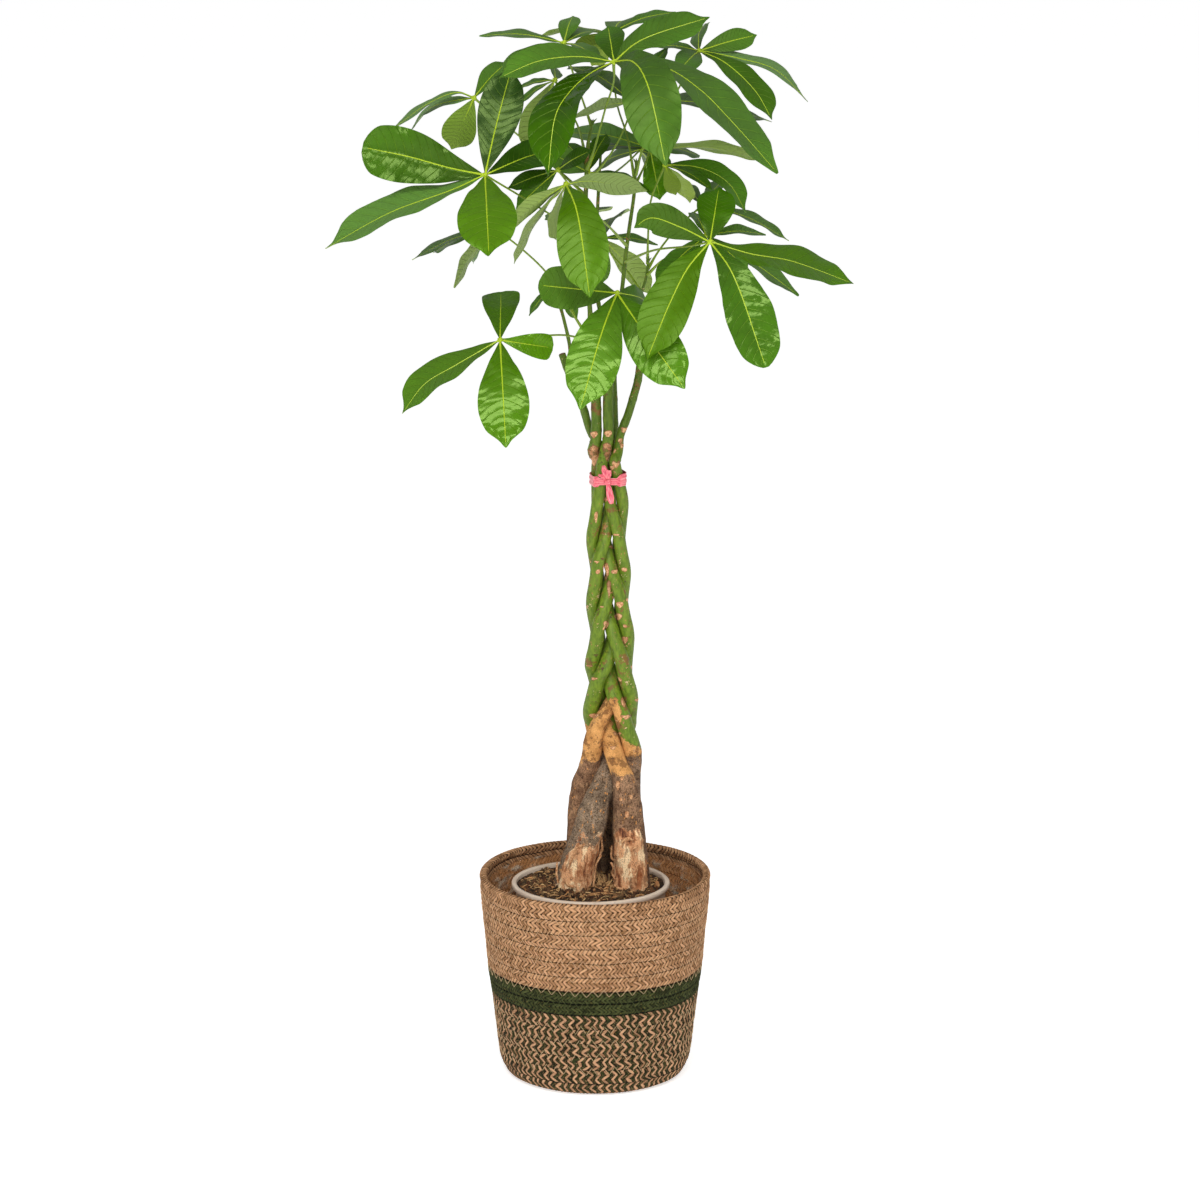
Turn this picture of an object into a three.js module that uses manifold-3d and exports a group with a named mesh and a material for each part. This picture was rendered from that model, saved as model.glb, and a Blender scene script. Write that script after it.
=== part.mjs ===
// Potted money tree: five braided trunks with palmate leaves, in a nursery pot that
// stands in a rope basket.  Millimetres, +Z up, the origin is the middle of the
// basket's underside, and the photographed front faces -Y.
import * as THREE from "three";
import { mergeVertices } from "three/addons/utils/BufferGeometryUtils.js";
import Module from "manifold-3d";

const wasm = await Module();
wasm.setup();

// ---------------------------------------------------------------- driving dimensions

const GAP = 0.3;                    // clearance between pieces that touch

const BASKET_HEIGHT = 220;
const RIM_RADIUS = 125.5;           // outside of the rolled rim
const ROLL_RADIUS = 4.5;            // rope that finishes the rim
const ROPE_WALL = 7;                // thickness of the sewn rope wall
const BAND_TOP = 117;               // natural rope above, green rope below
const BAND_BOTTOM = 90;             // green rope above, two-tone rope below
const FLOOR_THICKNESS = 7.5;
const FLOOR_RADIUS = 87;            // flat underside
const CORNER_HEIGHT = 15;           // rounded corner between floor and wall
const CORNER_BEND = 4;              // height of the corner's middle
const CORNER_RADIUS = 95.5;         // and its distance from the axis
const ROW_RELIEF = 1.1;             // how far each rope row stands proud of its seam
const NATURAL_ROWS = 6;
const GREEN_ROWS = 2;
const TWO_TONE_ROWS = 5;
const BASKET_SIDES = 24;

const FILM = 0.8;                   // clear liner
const LINER_TOP = 207;
const LINER_BEND = 22;              // where its floor has turned up into its wall
const LINER_FOOT_RADIUS = 84;
const LINER_GAP = 0.5;

const POT_TOP = 211.6;
const POT_X = -4.7;                 // the pot stands a little off the basket's middle
const POT_RIM_RADIUS = 85;
const POT_LIP_WIDTH = 3.4;
const POT_LIP_HEIGHT = 5;
const POT_FOOT_RADIUS = 64;
const POT_WALL = 1.8;
const POT_SIDES = 28;
const DRAIN_HOLES = 6;
const DRAIN_RADIUS = 5;
const DRAIN_CIRCLE = 44;
const DRAIN_SIDES = 10;

const SOIL_TOP = 208;
const SOIL_MOUND = 2.5;
const MOUND_RADIUS = 60;
const SOIL_GAP = 0.6;               // between the soil's flats and the pot's rounder wall
const ROOT_DEPTH = 62;

// Braid: each trunk swings across the axis on a figure of eight.
const FIRST_CROSSING = 327;         // height where the first trunk crosses the front
const CROSSING_STEP = 34.4;         // rise from one trunk's crossing to the next
const BRAID_SWING = 0.95;           // half width of the figure of eight, to a trunk's radius
const BRAID_DEPTH = 2.65;           // half depth of it, to a trunk's radius
const BRAID_START = 300;            // below this the trunks spread to their own roots
const BRAID_END = 648;              // the trunks run straight up from here
const BRAID_TOP = 674;              // and part into stems here, above the tie
const BRAID_STEP = 11.5;
const BASE_STEP = 22;
const TRUNK_SIDES = 7;
const SHOOT_SIDES = 5;
const TRUNK_CLEARANCE = 0.85;

const BLADE_THICKNESS = 0.8;
const BLADE_RATIO = 0.36;           // width over length of a leaflet seen flat
const PETIOLE_RADIUS = 1.3;
const PETIOLE_SIDES = 4;
const PETIOLE_END = 1.6;            // a petiole stops this short of the shoot's middle
const HUB_RADIUS = 3.4;

// ---------------------------------------------------------------- places in the picture

// Leaves and stems are placed by where they appear in the 1200 x 1200 picture, with
// their depth along Y added, and carried back through the lens that took it.
const EYE = new THREE.Vector3(5.4, -5000, 1630);
const EYE_PITCH = THREE.MathUtils.degToRad(12.5);
const FOCAL_PIXELS = 4819;
const PICTURE_MIDDLE = 600;
const CROWN_SCALE = 1.05;           // millimetres to a pixel at the crown

function at([px, py, depth]) {
  const side = (px - PICTURE_MIDDLE) / FOCAL_PIXELS;
  const drop = (py - PICTURE_MIDDLE) / FOCAL_PIXELS;
  const ray = new THREE.Vector3(
    side,
    Math.cos(EYE_PITCH) - drop * Math.sin(EYE_PITCH),
    -Math.sin(EYE_PITCH) - drop * Math.cos(EYE_PITCH),
  );
  return ray.multiplyScalar((depth - EYE.y) / ray.y).add(EYE);
}

// ---------------------------------------------------------------- solids

function closedGeometry(points, triangles) {
  const geometry = new THREE.BufferGeometry();
  const numbers = points.flatMap((p) => [p.x, p.y, p.z]);
  geometry.setAttribute("position", new THREE.Float32BufferAttribute(numbers, 3));
  let volume = 0;
  const cross = new THREE.Vector3();
  for (const [a, b, c] of triangles) {
    volume += points[a].dot(cross.crossVectors(points[b], points[c]));
  }
  geometry.setIndex(triangles.flatMap(([a, b, c]) => (volume < 0 ? [a, c, b] : [a, b, c])));
  return geometry;
}

function toSolid(geometry) {
  const plain = geometry.clone();
  plain.deleteAttribute("normal");
  plain.deleteAttribute("uv");
  const merged = mergeVertices(plain, 1e-4);
  return new wasm.Manifold(new wasm.Mesh({
    numProp: 3,
    vertProperties: new Float32Array(merged.attributes.position.array),
    triVerts: new Uint32Array(merged.index.array),
  }));
}

function toGeometry(solid) {
  const mesh = solid.getMesh();
  const geometry = new THREE.BufferGeometry();
  geometry.setAttribute("position", new THREE.BufferAttribute(new Float32Array(mesh.vertProperties), 3));
  geometry.setIndex(new THREE.BufferAttribute(new Uint32Array(mesh.triVerts), 1));
  return geometry;
}

// A closed skin over rings of equal count, with a flat fan on each end.
function loft(rings) {
  const sides = rings[0].length;
  const triangles = [];
  for (let row = 0; row + 1 < rings.length; row += 1) {
    for (let k = 0; k < sides; k += 1) {
      const here = row * sides + k;
      const next = row * sides + ((k + 1) % sides);
      triangles.push([here, next, next + sides], [here, next + sides, here + sides]);
    }
  }
  const last = (rings.length - 1) * sides;
  for (let k = 1; k + 1 < sides; k += 1) {
    triangles.push([0, k + 1, k], [last, last + k, last + k + 1]);
  }
  return closedGeometry(rings.flat(), triangles);
}

function levelRing(centre, radius, sides) {
  return Array.from({ length: sides }, (_, k) => {
    const turn = (k / sides) * 2 * Math.PI;
    return new THREE.Vector3(radius * Math.cos(turn), radius * Math.sin(turn), 0).add(centre);
  });
}

// Rings along a curve, square to it, with one radius for each of its points.
function tubeRings(points, radii, steps, sides, start = new THREE.Vector3(0.31, 0.95, 0.05)) {
  const curve = new THREE.CatmullRomCurve3(points, false, "centripetal");
  const normal = start.clone();
  const rings = [];
  for (let step = 0; step <= steps; step += 1) {
    const share = step / steps;
    const centre = curve.getPoint(share);
    const tangent = curve.getTangent(share);
    normal.addScaledVector(tangent, -normal.dot(tangent)).normalize();
    const across = tangent.clone().cross(normal);
    const radius = spread(radii, share);
    rings.push(Array.from({ length: sides }, (_, k) => {
      const turn = (k / sides) * 2 * Math.PI;
      return centre.clone()
        .addScaledVector(normal, radius * Math.cos(turn))
        .addScaledVector(across, radius * Math.sin(turn));
    }));
  }
  return rings;
}

function spread(values, share) {
  const place = share * (values.length - 1);
  const index = Math.min(Math.floor(place), values.length - 2);
  return THREE.MathUtils.lerp(values[index], values[index + 1], place - index);
}

// Piecewise straight reading of a list of [key, value] pairs.
function readAt(pairs, key) {
  let index = 0;
  while (index < pairs.length - 2 && key > pairs[index + 1][0]) index += 1;
  const [[fromKey, fromValue], [toKey, toValue]] = [pairs[index], pairs[index + 1]];
  const share = THREE.MathUtils.clamp((key - fromKey) / (toKey - fromKey), 0, 1);
  return THREE.MathUtils.lerp(fromValue, toValue, share);
}

function turned(profile, sides) {
  const lathe = new THREE.LatheGeometry(profile.map(([r, z]) => new THREE.Vector2(r, z)), sides);
  lathe.rotateX(Math.PI / 2);
  return toGeometry(toSolid(lathe));
}

// ---------------------------------------------------------------- basket

// Outside radius of the rope wall, measured in its seams, at each height.
const WALL_LINE = [
  [0, FLOOR_RADIUS], [CORNER_BEND, CORNER_RADIUS], [CORNER_HEIGHT, 102.3], [30, 104.2], [60, 107.6],
  [BAND_BOTTOM, 111.2], [BAND_TOP, 115.2], [170, 119.8],
  [BASKET_HEIGHT - 2 * ROLL_RADIUS, RIM_RADIUS - ROLL_RADIUS],
];

function wallRadius(z) {
  return readAt(WALL_LINE, z);
}

// Outer and inner points of a sewn wall between two heights, from the bottom to the top.
function wallProfile(bottom, top, rows) {
  const profile = [];
  const pitch = (top - bottom) / rows;
  for (let row = 0; row < rows; row += 1) {
    const seam = bottom + row * pitch;
    profile.push([wallRadius(seam), seam], [wallRadius(seam + pitch / 2) + ROW_RELIEF, seam + pitch / 2]);
  }
  profile.push([wallRadius(top), top]);
  return profile;
}

function closeInside(profile, bottom, top) {
  const middle = (bottom + top) / 2;
  const inner = [top, middle, bottom].map((z) => [wallRadius(z) - ROPE_WALL, z]);
  return [...profile, ...inner, profile[0]];
}

function basketFloor() {
  const top = CORNER_HEIGHT - GAP;
  const edge = wallRadius(top);
  return turned([
    [0, 0], [FLOOR_RADIUS, 0], [CORNER_RADIUS, CORNER_BEND], [edge, top], [edge - ROPE_WALL, top],
    [FLOOR_RADIUS, FLOOR_THICKNESS], [0, FLOOR_THICKNESS],
  ], BASKET_SIDES);
}

function basketWall(bottom, top, rows) {
  return turned(closeInside(wallProfile(bottom, top, rows), bottom, top), BASKET_SIDES);
}

function basketTop() {
  const bottom = BAND_TOP + GAP;
  const top = BASKET_HEIGHT - 2 * ROLL_RADIUS;
  const profile = wallProfile(bottom, top, NATURAL_ROWS);
  const rollMiddle = RIM_RADIUS - ROLL_RADIUS;
  for (const turn of [-10, 30, 75, 120, 165]) {
    const angle = THREE.MathUtils.degToRad(turn);
    profile.push([
      rollMiddle - 1 + ROLL_RADIUS * Math.cos(angle),
      BASKET_HEIGHT - ROLL_RADIUS + ROLL_RADIUS * Math.sin(angle),
    ]);
  }
  return turned(closeInside(profile, bottom, top), BASKET_SIDES);
}

function liner() {
  const floor = FLOOR_THICKNESS + GAP;
  const heights = [LINER_BEND, BAND_BOTTOM, BAND_TOP, LINER_TOP];
  const outer = heights.map((z) => [wallRadius(z) - ROPE_WALL - LINER_GAP, z]);
  const inner = outer.map(([r, z]) => [r - FILM, z]).reverse();
  return turned([
    [0, floor], [LINER_FOOT_RADIUS, floor], ...outer,
    ...inner, [LINER_FOOT_RADIUS - FILM, floor + FILM], [0, floor + FILM],
  ], BASKET_SIDES);
}

// ---------------------------------------------------------------- nursery pot and soil

const POT_FLOOR = FLOOR_THICKNESS + FILM + 2 * GAP;
const POT_WALL_TOP_RADIUS = POT_RIM_RADIUS - POT_LIP_WIDTH;

function potInside(z) {
  const share = (z - POT_FLOOR) / (POT_TOP - POT_FLOOR);
  return THREE.MathUtils.lerp(POT_FOOT_RADIUS, POT_WALL_TOP_RADIUS, share) - POT_WALL;
}

function nurseryPot() {
  const lip = POT_TOP - POT_LIP_HEIGHT;
  const inner = POT_FLOOR + POT_WALL;
  const shell = toSolid(turned([
    [0, POT_FLOOR], [POT_FOOT_RADIUS, POT_FLOOR], [potInside(lip) + POT_WALL, lip], [POT_RIM_RADIUS, lip],
    [POT_RIM_RADIUS, POT_TOP], [potInside(POT_TOP), POT_TOP], [potInside(inner), inner], [0, inner],
  ], POT_SIDES));
  const holes = Array.from({ length: DRAIN_HOLES }, (_, k) => {
    const hole = new THREE.CylinderGeometry(DRAIN_RADIUS, DRAIN_RADIUS, 4 * POT_WALL, DRAIN_SIDES);
    const turn = (k / DRAIN_HOLES) * 2 * Math.PI;
    hole.rotateX(Math.PI / 2);
    hole.translate(DRAIN_CIRCLE * Math.cos(turn), DRAIN_CIRCLE * Math.sin(turn), POT_FLOOR);
    return toSolid(hole);
  });
  return toGeometry(holes.reduce((pot, hole) => pot.subtract(hole), shell).translate([POT_X, 0, 0]));
}

function soil(trunks) {
  const bottom = POT_FLOOR + POT_WALL + GAP;
  const body = toSolid(turned([
    [0, bottom], [potInside(bottom) - SOIL_GAP, bottom], [potInside(SOIL_TOP) - SOIL_GAP, SOIL_TOP],
    [MOUND_RADIUS, SOIL_TOP + SOIL_MOUND], [0, SOIL_TOP + SOIL_MOUND],
  ], POT_SIDES)).translate([POT_X, 0, 0]);
  return toGeometry(trunks.reduce((rest, trunk) => rest.subtract(trunk.socket), body));
}

// ---------------------------------------------------------------- braided trunks

// Base: where the trunk leaves the soil.  Girth: its share of the common thickness there.
// Start: the phase, before its first crossing, that the trunk holds below the braid.
const TRUNKS = [
  {
    name: "trunk_front_left", base: [-24, -12], girth: 1.0, start: -0.5,
    stem: [[605, 452, -9], [608, 438, -10], [608, 400, -8], [611, 350, -2], [621, 297, 0], [625, 262, 0],
      [629, 230, 0], [634, 195, 0], [636, 165, 0]],
    girths: [6, 5.6, 5.4, 4.4, 2.2, 2.1, 2, 1.8, 1.2],
  },
  {
    name: "trunk_front_right", base: [41, -12], girth: 0.97, start: -0.5,
    stem: [[618, 452, -9], [620, 436, -3], [628, 415, 4], [634, 395, 6], [638, 380, 6], [640, 365, 6]],
    girths: [5.2, 4.6, 4.4, 4.3, 4.2, 4.0],
    shoot: [[637, 386, 6], [641, 350, 14], [641, 320, 14], [640, 300, 12], [646, 278, 10], [648, 263, 10]],
  },
  {
    name: "trunk_left", base: [-14, 25], girth: 0.93, start: -0.5,
    stem: [[593.5, 452, -2], [596, 438, -7], [596, 400, -6], [594, 360, -2], [590, 311, 0], [587, 250, 0],
      [586, 190, 0], [588, 145, 0], [592, 125, 0]],
    girths: [6.2, 5.8, 5.3, 4.6, 2.6, 2.3, 2.2, 2, 1.2],
  },
  {
    name: "trunk_right", base: [35, 23], girth: 0.78, start: -0.5,
    stem: [[615, 452, 15], [614, 440, 13], [613, 400, 13], [611, 360, 14], [605, 330, 20], [598, 300, 26],
      [596, 250, 34], [598, 200, 40], [601, 150, 46]],
    girths: [5.8, 5.2, 4.9, 4.4, 2.6, 2.2, 2, 1.8, 1.2],
  },
  {
    name: "trunk_back", base: [11, 54], girth: 0.74, start: -0.9,
    stem: [[603.5, 452, 9], [596, 440, 14], [590, 430, 11], [583, 407, 4], [575, 388, 2], [567, 368, 0],
      [562, 354, 0]],
    girths: [5.4, 4.8, 4.3, 4.2, 4.1, 4.0, 3.8],
    shoot: [[568, 371, 0], [570, 350, 0], [564, 320, 4], [559, 302, 8], [556, 290, 14]],
  },
];

const TRUNK_GIRTH = [
  [-ROOT_DEPTH, 7], [-25, 15], [0, 21], [40, 19], [70, 17.3], [90, 16], [110, 13.6], [135, 11.3],
  [180, 9.1], [260, 7.8], [340, 7], [430, 6.4], [470, 6.1],
];
const BRAID_AXIS = [[300, 15], [370, 17.3], [470, 16.8], [560, 14], [650, 13]];
const EVEN_GIRTH_HEIGHT = 210;      // above this the trunks are equally thick
const BRAID_GIRTH = 9.6;            // thickest radius that widens the braid
const SHOOT_GIRTHS = [2, 1.9, 1.8, 1.6, 1.2];
const SETTLING_ROUNDS = 400;
const EVENING = 0.3;                // how far one round draws a slice to its neighbours
const EVENING_ROUNDS = 200;         // evening stops here, and only the pushing goes on
const FIRST_JOIN = 150;             // rise over which the first trunk joins the braid
const JOIN_STEP = 45;               // further rise for each trunk after it

function smooth(share) {
  const t = THREE.MathUtils.clamp(share, 0, 1);
  return t * t * (3 - 2 * t);
}

function girthAt(trunk, z) {
  const rise = z - SOIL_TOP;
  const share = THREE.MathUtils.lerp(trunk.girth, 1, smooth(rise / EVEN_GIRTH_HEIGHT));
  return readAt(TRUNK_GIRTH, rise) * share;
}

// Where a trunk would run if the others left it room.
function guide(trunk, index, z) {
  const risen = Math.min(z, BRAID_END) - FIRST_CROSSING - index * CROSSING_STEP;
  const turn = Math.max(risen / (5 * CROSSING_STEP), trunk.start);
  const phase = Math.PI * (turn + index);
  const girth = Math.min(girthAt(trunk, z), BRAID_GIRTH);
  const braidX = readAt(BRAID_AXIS, z) + BRAID_SWING * girth * Math.sin(phase);
  const braidY = BRAID_DEPTH * girth * Math.sin(2 * phase);
  const joined = smooth((z - SOIL_TOP) / (FIRST_JOIN + JOIN_STEP * index));
  return new THREE.Vector3(
    THREE.MathUtils.lerp(trunk.base[0], braidX, joined),
    THREE.MathUtils.lerp(trunk.base[1], braidY, joined),
    z,
  );
}

// Pushes the trunks' middles apart in one level slice where they overlap.
function pushApart({ middles, radii }) {
  for (let i = 0; i < middles.length; i += 1) {
    for (let j = i + 1; j < middles.length; j += 1) {
      const apart = middles[j].clone().sub(middles[i]);
      const short = radii[i] + radii[j] + TRUNK_CLEARANCE - apart.length();
      if (short > 0) {
        apart.setLength(short / 2);
        middles[i].sub(apart);
        middles[j].add(apart);
      }
    }
  }
}

// Draws each slice a little towards its neighbours, so that the trunks run smoothly.
function evenOut(slices) {
  const before = slices.map(({ middles }) => middles.map((middle) => middle.clone()));
  for (let k = 1; k + 1 < slices.length; k += 1) {
    slices[k].middles.forEach((middle, i) => {
      const between = before[k - 1][i].clone().lerp(before[k + 1][i], 0.5).setZ(middle.z);
      middle.lerp(between, EVENING);
    });
  }
}

function evenSteps(from, to, count) {
  return Array.from({ length: count + 1 }, (_, k) => THREE.MathUtils.lerp(from, to, k / count));
}

function sliceHeights() {
  const lowest = SOIL_TOP - ROOT_DEPTH;
  const baseSteps = Math.round((BRAID_START - lowest) / BASE_STEP);
  const braidSteps = Math.round((BRAID_TOP - BRAID_START) / BRAID_STEP);
  return [
    ...evenSteps(lowest, BRAID_START, baseSteps).slice(0, -1),
    ...evenSteps(BRAID_START, BRAID_TOP, braidSteps),
  ];
}

function braidSlices() {
  const slices = sliceHeights().map((z) => ({
    z,
    radii: TRUNKS.map((trunk) => girthAt(trunk, z)),
    middles: TRUNKS.map((trunk, index) => guide(trunk, index, z)),
  }));
  for (let round = 0; round < SETTLING_ROUNDS; round += 1) {
    if (round % 4 === 0 && round < EVENING_ROUNDS) evenOut(slices);
    slices.forEach(pushApart);
  }
  return slices;
}

const SLICES = braidSlices();

function trunkSolid(trunk, index, growth) {
  const rings = SLICES.map(({ radii, middles }) => (
    levelRing(middles[index], radii[index] + growth, TRUNK_SIDES)
  ));
  const top = SLICES.at(-1);
  const stem = tubeRings(
    [top.middles[index], ...trunk.stem.map(at)],
    [top.radii[index], ...trunk.girths].map((r) => r + growth),
    trunk.stem.length + 2,
    TRUNK_SIDES,
    new THREE.Vector3(1, 0, 0),
  );
  const whole = toSolid(loft([...rings, ...stem.slice(1)]));
  if (!trunk.shoot) return whole;
  const girths = SHOOT_GIRTHS.map((r) => r + growth);
  return whole.add(toSolid(loft(tubeRings(trunk.shoot.map(at), girths, trunk.shoot.length, SHOOT_SIDES))));
}

function buildTrunks() {
  return TRUNKS.map((trunk, index) => ({
    ...trunk,
    solid: trunkSolid(trunk, index, 0),
    socket: trunkSolid(trunk, index, GAP),
  }));
}

// ---------------------------------------------------------------- ribbon tie

const TIE_BOTTOM = 646;
const TIE_TOP = 662;
const TIE_THICKNESS = 1;
const TIE_CLEARANCE = 0.9;
const TIE_SIDES = 20;
const KNOT_X = 13;
const KNOT_RADIUS = 5;
const KNOT_SHAPE = [1.1, 0.55, 0.9];
// Each tail: its width, and its way from the knot to the right, outward and up.
const TAILS = [
  { width: 6, way: [[0, 0.6, 0], [-1, 2.4, 8], [-2.5, 1.5, 15]] },
  { width: 7, way: [[0, 0.6, 0], [2.5, 3.2, -10], [5, 3.6, -25]] },
];

// A level loop drawn tightly round all the trunks that pass near its height.
function tieRing(z, outward) {
  const discs = SLICES.filter((slice) => Math.abs(slice.z - z) < BRAID_STEP)
    .flatMap(({ middles, radii }) => middles.map((middle, i) => ({ middle, radius: radii[i] })));
  return Array.from({ length: TIE_SIDES }, (_, k) => {
    const turn = (k / TIE_SIDES) * 2 * Math.PI;
    const way = new THREE.Vector3(Math.cos(turn), Math.sin(turn), 0);
    const reach = ({ middle, radius }) => middle.dot(way) + radius;
    const far = discs.reduce((best, disc) => (reach(disc) > reach(best) ? disc : best));
    return far.middle.clone().addScaledVector(way, far.radius + outward).setZ(z);
  });
}

function ribbonTail(knot, { width, way }) {
  const half = width / 2;
  const corners = [[-half, 0], [half, 0], [half, TIE_THICKNESS], [-half, TIE_THICKNESS]];
  const rings = way.map(([right, outward, up]) => corners.map(([side, out]) => (
    new THREE.Vector3(knot.x + right + side, knot.y - outward - out, knot.z + up)
  )));
  return toSolid(loft(rings));
}

function tie() {
  const middleHeight = (TIE_BOTTOM + TIE_TOP) / 2;
  const outer = [TIE_BOTTOM, middleHeight, TIE_TOP].map((z) => tieRing(z, TIE_CLEARANCE + TIE_THICKNESS));
  const inner = [TIE_BOTTOM - 1, middleHeight, TIE_TOP + 1].map((z) => tieRing(z, TIE_CLEARANCE));
  const band = toSolid(loft(outer)).subtract(toSolid(loft(inner)));
  const fromKnot = (p) => Math.abs(p.x - KNOT_X) + Math.max(0, p.y) * TIE_SIDES;
  const knotPlace = outer[1].reduce((best, p) => (fromKnot(p) < fromKnot(best) ? p : best));
  const knot = new THREE.IcosahedronGeometry(KNOT_RADIUS, 0);
  knot.scale(...KNOT_SHAPE);
  knot.translate(knotPlace.x, knotPlace.y - TIE_THICKNESS, knotPlace.z);
  const tails = TAILS.map((tail) => ribbonTail(knotPlace, tail));
  return toGeometry([toSolid(knot), ...tails].reduce((whole, piece) => whole.add(piece), band));
}

// ---------------------------------------------------------------- leaves

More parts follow.
